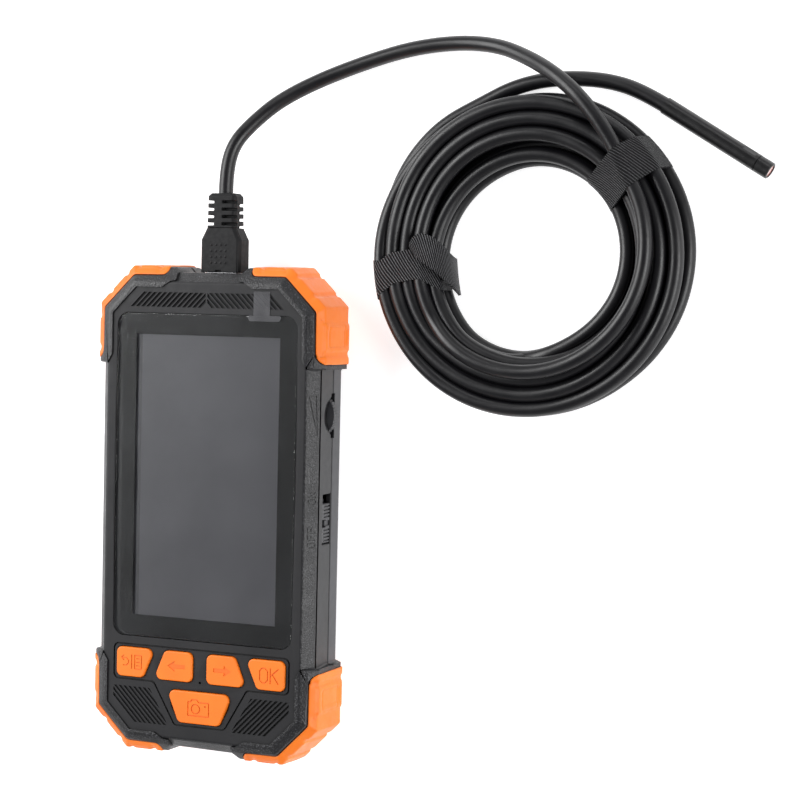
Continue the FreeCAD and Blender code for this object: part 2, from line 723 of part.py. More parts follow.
def cover_screws():
    """Cross head screws from the back."""
    shapes = []
    for x, y in screw_spots:
        head = Part.makeCylinder(2.4, 1.3, Vector(x, y, back_z + 0.05))
        head = head.makeFillet(0.3, [e for e in head.Edges if e.BoundBox.ZMax < back_z + 0.1])
        shank = Part.makeCylinder(0.98, 16.0, Vector(x, y, back_z + 1.3))
        slot_a = block(x - 1.4, x + 1.4, y - 0.25, y + 0.25, back_z - 1, back_z + 0.75)
        slot_b = block(x - 0.25, x + 0.25, y - 1.4, y + 1.4, back_z - 1, back_z + 0.75)
        shapes.append(head.fuse(shank).cut(slot_a).cut(slot_b))
    return shapes


def wheel_parts():
    """Knurled thumbwheel with its shaft, and the potentiometer over it."""
    low = split_z - wheel_thick / 2
    disc = Part.makeCylinder(wheel_radius, wheel_thick, Vector(wheel_x, wheel_y, low))
    rim = [e for e in disc.Edges if e.BoundBox.XLength > 2 * wheel_radius - 0.1]
    disc = disc.makeChamfer(0.3, rim)
    notches = []
    count = 48
    for i in range(count):
        angle = 2 * pi * i / count
        x = wheel_x + (wheel_radius + 0.12) * cos(angle)
        y = wheel_y + (wheel_radius + 0.12) * sin(angle)
        notches.append(Part.makeCylinder(0.36, wheel_thick + 2, Vector(x, y, low - 1)))
    disc = disc.cut(Part.makeCompound(notches))
    shaft = Part.makeCylinder(wheel_shaft, 3.8, Vector(wheel_x, wheel_y, low + wheel_thick - 0.2))
    wheel = disc.fuse(shaft)
    body = block(wheel_x - 4.6, wheel_x + 3.4, wheel_y - 5, wheel_y + 5,
                 low + wheel_thick + 0.3, board_z)
    body = body.cut(Part.makeCylinder(wheel_shaft + gap, 10, Vector(wheel_x, wheel_y, low)))
    return wheel, body


def slider_parts():
    """Ribbed power slider and the switch under it."""
    outer_x = half_width - 0.25
    knob = block(37.0, outer_x, knob_low, knob_high, split_z + 0.35, switch_top_z - 0.3)
    edges = [e for e in knob.Edges if e.BoundBox.XMin > outer_x - 0.01]
    knob = knob.makeChamfer(0.3, edges)
    middle = (knob_low + knob_high) / 2.0
    ribs = []
    for side in (-1, 1):
        for i in range(4):
            y = middle + side * (2.2 + i * 1.15)
            ribs.append(block(outer_x - 0.55, 45, y - 0.28, y + 0.28, split_z, switch_top_z - 1.1))
    ribs.append(block(outer_x - 1.2, 45, middle - 1.3, middle + 1.3, split_z + 3.4, 30))
    ribs.append(block(outer_x - 0.5, 45, middle - 0.9, middle + 0.9, split_z, 30))
    for rib in ribs:
        knob = knob.cut(rib)
    flange = block(36.6, 37.9, knob_low - 1.2, knob_high + 1.2, split_z + 0.35, 20.4)
    stem = block(33.6, 37.0, middle - 1.0, middle + 1.0, 15.2, 17.4)
    slider = knob.multiFuse([flange, stem])
    body = block(29.0, 36.2, middle - 5.5, middle + 8.3, 14.3, board_z)
    body = body.cut(block(33.0, 37.0, middle - 1.2, middle + 4.2, 15.0, 17.6))
    return slider, body


def port_parts():
    """Rubber cover on the left side, charge port and card slot behind it."""
    x = -half_width
    low = port_z - port_height / 2 + 0.2
    high = port_z + port_height / 2 - 0.2
    flap = block(x, x + 2 * port_pivot, pivot_y, port_high - 0.2, low, high)
    edges = [e for e in flap.Edges if e.BoundBox.XMax < x + 0.01 and e.BoundBox.YMax > pivot_y + 1]
    flap = flap.makeFillet(0.4, edges)
    roll = Part.makeCylinder(port_pivot, high - low, Vector(x + port_pivot, pivot_y, low))
    flap = flap.fuse(roll)
    nail = block(x - 1, x + 0.6, port_high - 3.0, port_high - 1.6, port_z - 2.5, port_z + 2.5)
    charge_bung = block(x + 1.0, x + 2.9, 14.6, 21.4, port_z - 0.9, port_z + 0.9)
    flap = flap.cut(nail).fuse(charge_bung)
    port = block(x + 2.3, x + 9.6, 13.4, 22.6, port_z - 1.75, port_z + 1.75)
    mouth = rounded_wire(rectangle(8.4, 2.7), 1.3)
    bore = Part.Face(mouth).extrude(Vector(0, 0, 6.4))
    bore.rotate(Vector(0, 0, 0), Vector(1, 0, 0), 90)
    bore.rotate(Vector(0, 0, 0), Vector(0, 0, 1), 90)
    bore.translate(Vector(x + 2.0, 18.0, port_z))
    port = port.cut(bore)
    tongue = block(x + 4.6, x + 9.0, 15.0, 21.0, port_z - 0.35, port_z + 0.35)
    port = port.fuse(tongue)
    card = block(x + 2.3, x + 16.0, 25.0, 37.2, port_z - 0.95, port_z + 1.9)
    card = card.cut(block(x, x + 15.0, 25.6, 36.6, port_z - 0.55, port_z + 0.35))
    return flap, port, card


# ---------------------------------------------------------------- probe
def flat_prism(width, thick, radius, y0, y1):
    """Rounded bar along +Y about the plug's axis."""
    face = Part.Face(rounded_wire(rectangle(width, thick), radius))
    face.rotate(Vector(0, 0, 0), Vector(1, 0, 0), 90)
    face.translate(Vector(0, y0, plug_z))
    return face.extrude(Vector(0, y1 - y0, 0))


def bevelled(width, thick, y):
    """Corners of a flat section across Y with its four corners cut."""
    half_w = width / 2
    half_t = thick / 2
    cut = plug_bevel
    flat = [(half_w - cut, half_t), (half_w, half_t - cut), (half_w, cut - half_t),
            (half_w - cut, -half_t), (cut - half_w, -half_t), (-half_w, cut - half_t),
            (-half_w, half_t - cut), (cut - half_w, half_t)]
    return [Vector(x, y, plug_z + z) for x, z in flat]


def bevelled_run(sections):
    """Solid through bevelled sections, with thin seams along its front corner strips."""
    corners = [bevelled(*section) for section in sections]
    wires = [Part.makePolygon(ring + ring[:1]) for ring in corners]
    run = Part.makeLoft(wires, True, True)
    seams = []
    for near, far in zip(corners, corners[1:]):
        for i in (0, 1, 6, 7):
            along = far[i] - near[i]
            seams.append(Part.makeCylinder(seam_radius, along.Length, near[i], along))
    return run, seams


def sleeve():
    """Strain relief: a stubby sleeve, slotted from the left, the front corner and the right."""
    run, seams = bevelled_run([(11.0, 7.2, relief_y), (10.6, 7.0, relief_end_y - 1.1),
                               (8.8, 5.8, relief_end_y)])
    slots = seams[:4]
    for i in range(4):
        y = 96.5 + 2.45 * i
        slots.append(block(-7.0, -2.6, y - 0.5, y + 0.5, plug_z - 5, plug_z + 5))
        slots.append(block(0.4, 7.0, y - 0.45, y + 0.45, plug_z + 2.0, plug_z + 5))
        slots.append(block(3.5, 7.0, y - 1.45, y - 0.5, plug_z - 5, plug_z + 1.3))
    for slot in slots:
        run = run.cut(slot)
    return run


def plug_parts():
    """Overmould, metal shell, contact tongue, strain relief and the socket."""
    body, seams = bevelled_run([(plug_width, plug_thick, plug_base_y),
                                (plug_width, plug_thick, plug_neck_y),
                                (11.0, 7.2, relief_y)])
    for seam in seams:
        body = body.cut(seam)
    dots = []
    for i in range(4):
        for j in range(4):
            spot = Vector(-3.2 + i * 1.78, plug_base_y + 3.2 + j * 2.0,
                          plug_z + plug_thick / 2 - 0.12)
            dots.append(Part.makeSphere(0.34, spot))
    body = body.multiFuse(dots)
    notch = block(-1.6, 0.6, plug_base_y - 1, plug_base_y + 0.7, plug_z + plug_thick / 2 - 0.6,
                  plug_z + 9)
    body = body.cut(notch)
    relief = sleeve()
    tip_y = plug_base_y - shell_reach
    shell = flat_prism(shell_width, shell_thick, 0.6, tip_y, plug_base_y)
    shell = shell.cut(flat_prism(shell_width - 0.8, shell_thick - 0.8, 0.4, tip_y - 1,
                                 plug_base_y - 0.6))
    tongue = block(-5.3, 5.3, tip_y + 0.6, plug_base_y - 0.6, plug_z + 0.1, plug_z + 1.6)
    socket = block(-7.1, 7.1, tip_y - 3.4, 77.7, plug_z - 3.3, board_z - gap)
    socket = socket.cut(flat_prism(shell_width + 0.2, shell_thick + 0.2, 0.7, tip_y - 0.6, 90.0))
    contact = block(-5.0, 5.0, tip_y - 0.8, 76.5, plug_z - 1.6, plug_z - 0.1)
    socket = socket.fuse(contact)
    return body, relief, shell, tongue, socket


def tube(route, radius, label):
    """Tube along straight runs joined by arcs as large as the runs allow."""
    spots = [Vector(*point) for point in route]
    edges = []
    radii = []
    last = spots[0]
    for i in range(1, len(spots) - 1):
        here = spots[i]
        back = spots[i - 1] - here
        ahead = spots[i + 1] - here
        shorter = min(back.Length, ahead.Length)
        turn = pi - back.getAngle(ahead)
        trim = 0.45 * shorter
        radii.append(trim / tan(turn / 2.0))
        back.normalize()
        ahead.normalize()
        start = here + back * trim
        end = here + ahead * trim
        bisector = (back + ahead).normalize()
        middle = here + bisector * (radii[-1] / cos(turn / 2.0) - radii[-1])
        edges.append(Part.LineSegment(last, start).toShape())
        edges.append(Part.Arc(start, middle, end).toShape())
        last = end
    edges.append(Part.LineSegment(last, spots[-1]).toShape())
    path = Part.Wire(edges)
    direction = spots[1] - spots[0]
    section = Part.Wire([Part.makeCircle(radius, spots[0], direction)])
    solid = path.makePipeShell([section], True, False)
    print(label, "length", round(path.Length, 1), "radii", [round(r) for r in radii],
          "volume ratio", round(solid.Volume / (pi * radius ** 2 * path.Length), 4))
    return solid


def ring_section(points, angle_from=0.0, angle_to=360.0):
    """Section of (radius, height) points swept about the coil's middle."""
    cx, cy = coil_middle
    face = face_of([Vector(cx + r, cy, z) for r, z in points])
    face.rotate(Vector(cx, cy, 0), Vector(0, 0, 1), angle_from)
    return face.revolve(Vector(cx, cy, 0), Vector(0, 0, 1), angle_to - angle_from)


def strap(angle, top_points):
    """Hook-and-loop strap round the coil, under whatever lies on the coil."""
    spread = degrees(strap_width / 42.0) / 2.0
    clear = gap
    t = strap_thick
    outer = [(29.9 - clear - t, 0.0), (54.2 + clear + t, 0.0), (54.2 + clear + t, 5.6)]
    outer += [(r, z + t) for r, z in top_points]
    outer += [(29.9 - clear - t, 5.6)]
    inner = [(29.9 - clear, -1.0), (54.2 + clear, -1.0), (54.2 + clear, 5.5)]
    inner += top_points
    inner += [(29.9 - clear, 5.5)]
    band = ring_section(outer, angle - spread, angle + spread)
    hollow = ring_section(inner, angle - spread - 5, angle + spread + 5)
    return band.cut(hollow)


def head_parts():
    """Camera head at the end of the cable, built along +Z and then laid down."""
    sleeve = Part.makeCylinder(head_radius, sleeve_length)
    sleeve = sleeve.cut(Part.makeCylinder(head_radius - 0.4, sleeve_length, Vector(0, 0, 1.5)))
    sleeve = sleeve.cut(Part.makeCylinder(0.9, 3.0, Vector(0, 0, -1)))
    mark = block(-1.0, 1.0, head_radius - 0.2, head_radius + 1, sleeve_length - 6.0,
                 sleeve_length - 1.2)
    sleeve = sleeve.cut(mark)
    barrel = Part.makeCylinder(head_radius, barrel_length - 0.25,
                               Vector(0, 0, sleeve_length + 0.25))
    front = sleeve_length + barrel_length
    rim = [e for e in barrel.Edges if e.BoundBox.ZMin > front - 0.01]
    barrel = barrel.makeChamfer(0.25, rim)
    barrel = barrel.fuse(Part.makeCylinder(head_radius - 0.45, 3.5,
                                           Vector(0, 0, sleeve_length - 3.0)))
    barrel = barrel.cut(Part.makeCylinder(head_radius - 0.7, 20, Vector(0, 0, sleeve_length - 4)))
    window = Part.makeCylinder(head_radius - 0.75, 0.6, Vector(0, 0, front - 0.9))
    ring = Part.makeCylinder(head_radius - 0.8, 0.6, Vector(0, 0, front - 1.9))
    ring = ring.cut(Part.makeCylinder(1.15, 2, Vector(0, 0, front - 2.5)))
    leds = []
    for i in range(6):
        angle = pi / 3 * i
        led = block(-0.28, 0.28, -0.22, 0.22, front - 1.3, front - 1.0)
        led.translate(Vector(1.55 * cos(angle), 1.55 * sin(angle), 0))
        leds.append(led)
    module = Part.makeCylinder(1.1, 5.0, Vector(0, 0, front - 6.1))
    module = module.fuse(block(-1.4, 1.4, -1.4, 1.4, front - 9.0, front - 6.1))
    board = block(-1.7, 1.7, -0.3, 0.3, 8.0, front - 9.1)
    end = Vector(*tail_route[-1])
    heading = end - Vector(*tail_route[-2])
    heading.z = 0
    turn = FreeCAD.Rotation(Vector(0, 0, 1), heading)
    place = FreeCAD.Placement(end, turn)
    groups = [[sleeve], [barrel], [window], [ring], leds, [module], [board]]
    for group in groups:
        for shape in group:
            shape.Placement = place.multiply(shape.Placement)
    return groups


# ---------------------------------------------------------------- build everything
outer = cover_outer()
save("front_cover", front_cover(outer))
save("rear_cover", rear_cover(outer))
guard = guard_shape()
for label, sx, sy in corners:
    save("bumper_" + label, mirrored(guard, sx, sy))

glass, mask, gasket, polarizer, cell, backlight, carrier = screen_parts()
save("screen_glass", glass)
save("screen_mask", mask)
save("screen_gasket", gasket)
save("lcd_polarizer", polarizer)
save("lcd_cell", cell)
save("lcd_backlight", backlight)
save("lcd_carrier", carrier)
save("film_tab", film_tab())

for key_name in key_outlines:
    save(key_name, key_shape(key_name))

board, chips, contacts, membrane, microphone, battery = electronics()
save("main_board", board)
save("board_chips", *chips)
save("key_contacts", *contacts)
save("keypad_membrane", membrane)
save("microphone", microphone)
save("battery", battery)
save("board_screws", *board_screws())
save("cover_screws", *cover_screws())

wheel, potentiometer = wheel_parts()
save("brightness_wheel", wheel)
save("wheel_potentiometer", potentiometer)
slider, switch_body = slider_parts()
save("power_slider", slider)
save("switch_body", switch_body)
flap, charge_port, card_slot = port_parts()
save("port_cover", flap)
save("charge_port", charge_port)
save("card_slot", card_slot)

plug_body, relief, plug_shell, plug_tongue, socket = plug_parts()
save("probe_socket", socket)
save("plug_body", plug_body)
save("strain_relief", relief)
save("plug_shell", plug_shell)
save("plug_tongue", plug_tongue)
save("cable_lead", tube(lead_route, cable_radius, "lead"))
save("cable_coil", ring_section(coil_section))
save("cable_tail", tube(tail_route, cable_radius, "tail"))
flat_top = [(49.2 + 0.2, 14.6 + gap), (35.2 - 0.2, 14.6 + gap)]
lead_top = [(49.4, 15.6), (47.2, 20.0), (40.2, 20.0), (37.4, 15.6), (35.0, 14.6 + gap)]
save("strap_left", strap(strap_left_angle, flat_top))
save("strap_right", strap(strap_right_angle, lead_top))
sleeve, barrel, window, led_ring, leds, module, head_board = head_parts()
save("head_sleeve", *sleeve)
save("head_barrel", *barrel)
save("head_window", *window)
save("led_ring", *led_ring)
save("head_leds", *leds)
save("camera_module", *module)
save("head_board", *head_board)
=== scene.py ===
import json
from math import atan2, cos, degrees, pi, radians, sin

import bmesh
import bpy
import numpy as np
from mathutils import Matrix, Vector

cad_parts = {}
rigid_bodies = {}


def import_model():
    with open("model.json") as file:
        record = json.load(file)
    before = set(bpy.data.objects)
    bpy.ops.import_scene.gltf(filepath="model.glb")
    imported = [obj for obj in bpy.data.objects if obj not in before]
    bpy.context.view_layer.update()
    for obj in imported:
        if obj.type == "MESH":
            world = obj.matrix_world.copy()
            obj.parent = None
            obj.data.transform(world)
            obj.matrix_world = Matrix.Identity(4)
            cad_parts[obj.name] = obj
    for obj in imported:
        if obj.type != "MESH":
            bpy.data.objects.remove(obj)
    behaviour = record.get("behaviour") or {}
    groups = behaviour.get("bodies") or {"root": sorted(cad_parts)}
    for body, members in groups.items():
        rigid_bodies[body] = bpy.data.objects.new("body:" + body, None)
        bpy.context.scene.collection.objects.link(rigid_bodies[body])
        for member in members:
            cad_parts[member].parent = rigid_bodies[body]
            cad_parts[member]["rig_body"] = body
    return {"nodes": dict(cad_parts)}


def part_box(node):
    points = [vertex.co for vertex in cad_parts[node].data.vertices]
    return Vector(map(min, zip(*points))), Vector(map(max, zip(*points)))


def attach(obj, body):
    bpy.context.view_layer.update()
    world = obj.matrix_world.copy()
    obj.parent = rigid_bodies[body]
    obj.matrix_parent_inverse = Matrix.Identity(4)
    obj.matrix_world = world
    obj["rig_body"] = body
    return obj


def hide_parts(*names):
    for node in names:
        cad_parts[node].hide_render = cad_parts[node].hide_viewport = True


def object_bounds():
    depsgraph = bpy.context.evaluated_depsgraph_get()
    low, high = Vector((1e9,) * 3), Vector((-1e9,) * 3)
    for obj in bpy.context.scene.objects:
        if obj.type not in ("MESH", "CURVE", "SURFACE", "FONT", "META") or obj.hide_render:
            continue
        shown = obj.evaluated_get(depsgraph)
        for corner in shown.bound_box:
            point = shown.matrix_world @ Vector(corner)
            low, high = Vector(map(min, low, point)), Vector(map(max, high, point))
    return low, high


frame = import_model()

# Looks of a handheld inspection camera with a coiled cable probe. Metres, in the frame's
# axes: +Z leaves the screen, +Y points to the probe socket, +X is the thumbwheel's side.
nodes = frame["nodes"]
cad_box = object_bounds()
mm = 0.001


def rgb(red, green, blue):
    """Linear colour from everyday 0 to 255 values."""
    def linear(value):
        share = value / 255.0
        return share / 12.92 if share <= 0.04045 else ((share + 0.055) / 1.055) ** 2.4
    return (linear(red), linear(green), linear(blue), 1.0)


# ---------------------------------------------------------------- camera
camera_place = Vector((0.3404, 0.0751, 0.6603))
camera_right = Vector((0.91916, 0.02209, -0.39326))
camera_up = Vector((-0.03996, 0.99850, -0.03731))
camera_lens = 97.1


def make_camera():
    """The camera that the main view is taken from."""
    data = bpy.data.cameras.new("main_camera")
    data.lens = camera_lens
    data.sensor_width = 36.0
    data.clip_start = 0.01
    made = bpy.data.objects.new("main_camera", data)
    bpy.context.scene.collection.objects.link(made)
    back = camera_right.cross(camera_up)
    turn = Matrix((camera_right, camera_up, back)).transposed()
    made.matrix_world = Matrix.Translation(camera_place) @ turn.to_4x4()
    bpy.context.scene.camera = made


make_camera()

# ---------------------------------------------------------------- cord
cable_radius = 2.45 * mm
lead_route = [(0.0, 0.1068, 0.015), (0.0, 0.115, 0.015), (0.002, 0.124, 0.0133),
              (0.0078, 0.1312, 0.0102), (0.0155, 0.1382, 0.0072), (0.0275, 0.1446, 0.0044),
              (0.0432, 0.1504, 0.0027), (0.061, 0.1552, 0.0025), (0.0785, 0.1568, 0.0026),
              (0.0934, 0.155, 0.005), (0.1055, 0.15, 0.01), (0.1142, 0.1454, 0.0146),
              (0.1229, 0.139, 0.0176), (0.13, 0.1312, 0.018), (0.1358, 0.1226, 0.0174),
              (0.14, 0.1142, 0.0171)]
tail_route = [(0.087, 0.1368, 0.0025), (0.0966, 0.1415, 0.0025), (0.1075, 0.1441, 0.0025),
              (0.119, 0.1444, 0.0025), (0.1302, 0.1432, 0.0026), (0.1403, 0.1399, 0.00275),
              (0.1482, 0.1353, 0.00275)]

coil_low, coil_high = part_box("cable_coil")
coil_shift = Vector((1.3 * mm, 0.0, 0.0))
coil_middle = (coil_low + coil_high) / 2.0 + coil_shift
bundle_width = 24.3 * mm
coil_outer = (coil_high.x - coil_low.x) / 2.0
coil_inner = coil_outer - bundle_width
turn_steps = 24
coil_steps = 306
coil_seed = 11
strand_pitch = 4.85 * mm
bottom_row = coil_outer - cable_radius
middle_row = bottom_row - strand_pitch / 2.0
row_heights = (2.45 * mm, 6.7 * mm, 11.0 * mm)
# Shares of a turn: where a strand starts to move to its next cell, how long that takes, and
# how long the lead takes to settle into the first one.
move_starts = (0.0, 0.55)
move_spans = (0.25, 0.45)
entry_slide = 0.42
entry_delay = 0.02
entry_drop = 0.4
# Drift of the loose strands: steps from one random knot to the next, and its size.
radius_drift = (9, 1.1 * mm)
height_drift = (7, 0.7 * mm)
drift_fade = 12.0
# Settling: the pull towards the cells ends with the loose rounds, and smoothing weakens.
settle_rounds = 320
loose_rounds = 260
cell_pull = 0.05
loose_smoothing = 0.3
final_smoothing = 0.14
push_share = 0.45
push_fade = 5.0
bundle_ceiling = 12.3 * mm
# How far the bundle's inner and outer side leave a circle: (degrees, inner, outer) in mm.
coil_outline = [(0, 0.0, -0.2), (45, -1.2, -1.8), (90, -2.0, -2.6), (130, -3.2, -3.2),
                (180, -0.4, -1.5), (235, 3.2, -1.2), (270, 1.6, -1.7), (305, -1.6, -1.9),
                (335, -0.8, -0.9), (360, 0.0, -0.2)]


def coil_cells():
    """(radius, height) that each turn settles in, from the lead's end to the tail's."""
    top = [(middle_row - strand_pitch * i, row_heights[2]) for i in (3, 2, 1, 0)]
    middle = [(middle_row - strand_pitch * i, row_heights[1]) for i in (0, 1, 2, 3)]
    bottom = [(bottom_row - strand_pitch * i, row_heights[0]) for i in (4, 3, 2, 1, 0)]
    return top + middle + bottom


def polar(place):
    """(angle, radius, height) of a point about the coil's middle."""
    spot = Vector(place) - coil_middle
    return atan2(spot.y, spot.x), spot.to_2d().length, place[2]


def band(angle):
    """Nearest and furthest radius of a strand: the loose bundle isn't quite round."""
    stops, inner, outer = zip(*coil_outline)
    turn = degrees(angle) % 360.0
    nearest = coil_inner + cable_radius + np.interp(turn, stops, inner) * mm
    furthest = coil_outer - cable_radius + np.interp(turn, stops, outer) * mm
    return nearest, furthest


def ease(share):
    """Smooth step from 0 to 1."""
    share = min(max(share, 0.0), 1.0)
    return share * share * (3.0 - 2.0 * share)


def wander(draw, steps, every, size):
    """Slow random drift along the coil, one value a step."""
    knots = draw.normal(0.0, size, steps // every + 3)
    values = []
    for i in range(steps):
        k, share = divmod(i, every)
        share = ease(share / every)
        values.append(knots[k] * (1.0 - share) + knots[k + 1] * share)
    return np.array(values)


def end_fade(count, steps):
    """Weights that rise from 0 at both ends of the coil to 1 within some steps."""
    from_end = np.minimum(np.arange(count), np.arange(count)[::-1])
    return np.clip(from_end / steps, 0.0, 1.0)


def settle(aim_radius, aim_height, limits):
    """Push crossing turns apart, keep each strand smooth and let it rest on the floor."""
    radius = aim_radius.copy()
    height = aim_height.copy()
    count = len(radius)
    gap = 2.0 * cable_radius
    free = end_fade(count, push_fade)
    lead_in = turn_steps // 2
    inside = slice(1, count - 4)
    for round_number in range(settle_rounds):
        loose = round_number < loose_rounds
        pull = cell_pull if loose else 0.0
        smooth = loose_smoothing if loose else final_smoothing
        radius[1:-1] += smooth * ((radius[:-2] + radius[2:]) / 2.0 - radius[1:-1])
        height[1:-1] += smooth * ((height[:-2] + height[2:]) / 2.0 - height[1:-1])
        radius += pull * (aim_radius - radius)
        height += pull * (aim_height - height)
        for phase in range(turn_steps):
            here = np.arange(phase, count, turn_steps)
            across = radius[here][:, None] - radius[here][None, :]
            above = height[here][:, None] - height[here][None, :]
            apart = np.hypot(across, above) + np.eye(len(here))
            short = np.clip(gap - apart, 0.0, None) * (1.0 - np.eye(len(here)))
            radius[here] += push_share * free[here] * (across / apart * short).sum(axis=1)
            height[here] += push_share * free[here] * (above / apart * short).sum(axis=1)
        radius[inside] = np.clip(radius[inside], limits[inside, 0], limits[inside, 1])
        height[lead_in:] = np.minimum(height[lead_in:], bundle_ceiling)
        height[:] = np.maximum(height, cable_radius)
        radius[0], height[0] = aim_radius[0], aim_height[0]
        radius[-1], height[-1] = aim_radius[-1], aim_height[-1]
    return radius, height


def coil_points():
    """Control points of the coil's turns, clockwise between the lead and the tail."""
    draw = np.random.default_rng(coil_seed)
    cells = coil_cells()
    start, entry_radius, entry_height = polar(lead_route[-1])
    _, exit_radius, exit_height = polar(tail_route[0])
    begins = draw.uniform(*move_starts, len(cells) + 1)
    spans = draw.uniform(*move_spans, len(cells) + 1)
    count = coil_steps + 2
    angles = [start - 2.0 * pi * step / turn_steps for step in range(count)]
    limits = np.array([band(angle) for angle in angles])
    widest = (coil_inner + cable_radius, coil_outer - cable_radius)
    aim_radius = []
    aim_height = []
    for step in range(count):
        turn, share = divmod(step / turn_steps, 1.0)
        turn = int(turn)
        here = cells[turn]
        ahead = cells[min(turn + 1, len(cells) - 1)]
        moved = ease((share - begins[turn]) / spans[turn])
        r = here[0] + (ahead[0] - here[0]) * moved
        z = here[1] + (ahead[1] - here[1]) * moved
        r = float(np.interp(r, widest, limits[step]))
        if turn == 0:
            r = entry_radius + (r - entry_radius) * ease(share / entry_slide)
            z = entry_height + (z - entry_height) * ease((share - entry_delay) / entry_drop)
        aim_radius.append(r)
        aim_height.append(z)
    aim_radius = np.array(aim_radius)
    aim_height = np.array(aim_height)
    aim_radius[-1], aim_height[-1] = exit_radius, exit_height
    fade = end_fade(count, drift_fade)
    aim_radius += fade * wander(draw, count, *radius_drift)
    aim_height += fade * wander(draw, count, *height_drift)
    radius, height = settle(aim_radius, aim_height, limits)
    # The spline touches the middles of its control polygon's sides, so the corners stand out.
    swell = 1.0 / cos(pi / turn_steps)
    points = []
    for i in range(1, count - 1):
        points.append((coil_middle.x + swell * radius[i] * cos(angles[i]),
                       coil_middle.y + swell * radius[i] * sin(angles[i]), height[i]))
    return points


def make_cable():
    """The whole cable as one smooth curve, and the points of its centreline."""
    curve = bpy.data.curves.new("probe_cable", "CURVE")
    curve.dimensions = "3D"
    route = lead_route + coil_points() + tail_route
    spline = curve.splines.new("NURBS")
    spline.points.add(len(route) - 1)
    for spot, place in zip(spline.points, route):
        spot.co = (*place, 1.0)
        spot.radius = cable_radius
    spline.order_u = 3
    spline.use_endpoint_u = True
    spline.resolution_u = 6
    made = bpy.data.objects.new("probe_cable", curve)
    bpy.context.scene.collection.objects.link(made)
    graph = bpy.context.evaluated_depsgraph_get()
    thread = bpy.data.meshes.new_from_object(made.evaluated_get(graph))
    line = np.array([v.co for v in thread.vertices])
    bpy.data.meshes.remove(thread)
    curve.bevel_depth = 1.0
    curve.bevel_resolution = 6
    curve.use_fill_caps = True
    return made, line


cable, cable_line = make_cable()
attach(cable, "probe")
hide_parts("cable_lead", "cable_coil", "cable_tail")


# ---------------------------------------------------------------- materials
def material(name):
    """A new material with its tree and its Principled shader."""
    made = bpy.data.materials.new(name)
    made.use_nodes = True
    return made, made.node_tree, made.node_tree.nodes["Principled BSDF"]


def add(tree, kind, values=None, **settings):
    """A shader node with some of its inputs and settings filled in."""
    node = tree.nodes.new("ShaderNode" + kind)
    for key, value in settings.items():
        setattr(node, key, value)
    for key, value in (values or {}).items():
        node.inputs[key].default_value = value
    return node


def join(tree, source, target):
    """Link two sockets."""
    tree.links.new(source, target)


def noise(tree, coords, scale, detail=3.0):
    """Noise over the piece's own coordinates."""
    node = add(tree, "TexNoise", {"Scale": scale, "Detail": detail})
    join(tree, coords, node.inputs["Vector"])
    return node.outputs["Fac"]


def ramp(tree, factor, stops):
    """Colour ramp through (position, colour) stops."""
    node = add(tree, "ValToRGB")
    elements = node.color_ramp.elements
    while len(elements) < len(stops):
        elements.new(0.5)
    for element, (position, colour) in zip(elements, stops):
        element.position = position
        element.color = colour
    join(tree, factor, node.inputs["Fac"])
    return node.outputs["Color"]


def remap(tree, value, low, high, to_low, to_high):
    """Value moved from one range to another, clamped."""
    node = add(tree, "MapRange", {"From Min": low, "From Max": high, "To Min": to_low,
                                  "To Max": to_high})
    join(tree, value, node.inputs["Value"])
    return node.outputs["Result"]


def bump(tree, height, distance, strength=1.0, below=None):
    """Bump from a height, on top of another bump."""
    node = add(tree, "Bump", {"Distance": distance, "Strength": strength})
    join(tree, height, node.inputs["Height"])
    if below is not None:
        join(tree, below, node.inputs["Normal"])
    return node.outputs["Normal"]


def painted_crevice_shade(tree, colour, reach=0.9 * mm):
    """Colour with painted shade: ambient occlusion darkens it in narrow grooves and seams."""
    shade = add(tree, "AmbientOcclusion", {"Distance": reach}, samples=6)
    join(tree, colour, shade.inputs["Color"])
    return shade.outputs["Color"]


def surface(name, low, high, patch=90.0, rough=(0.4, 0.55), rough_scale=300.0,
            grain=2500.0, grain_depth=0.02 * mm, metallic=0.0, specular=0.5, coat=0.0,
            painted_shade_reach=0.0):
    """Material whose tone and gloss wander, with a fine grain, and painted shade in grooves and
    seams when given a reach for it.
    """
    made, tree, shader = material(name)
    coords = add(tree, "TexCoord").outputs["Object"]
    tone = noise(tree, coords, patch, 6.0)
    colour = ramp(tree, tone, [(0.3, low), (0.7, high)])
    # Painted shade: ambient occlusion darkens the colour in grooves and seams within this reach.
    if painted_shade_reach:
        colour = painted_crevice_shade(tree, colour, painted_shade_reach)
    join(tree, colour, shader.inputs["Base Color"])
    gloss = noise(tree, coords, rough_scale, 4.0)
    join(tree, remap(tree, gloss, 0.3, 0.7, *rough), shader.inputs["Roughness"])
    join(tree, bump(tree, noise(tree, coords, grain), grain_depth), shader.inputs["Normal"])
    shader.inputs["Metallic"].default_value = metallic
    shader.inputs["Specular IOR Level"].default_value = specular
    shader.inputs["Coat Weight"].default_value = coat
    return made


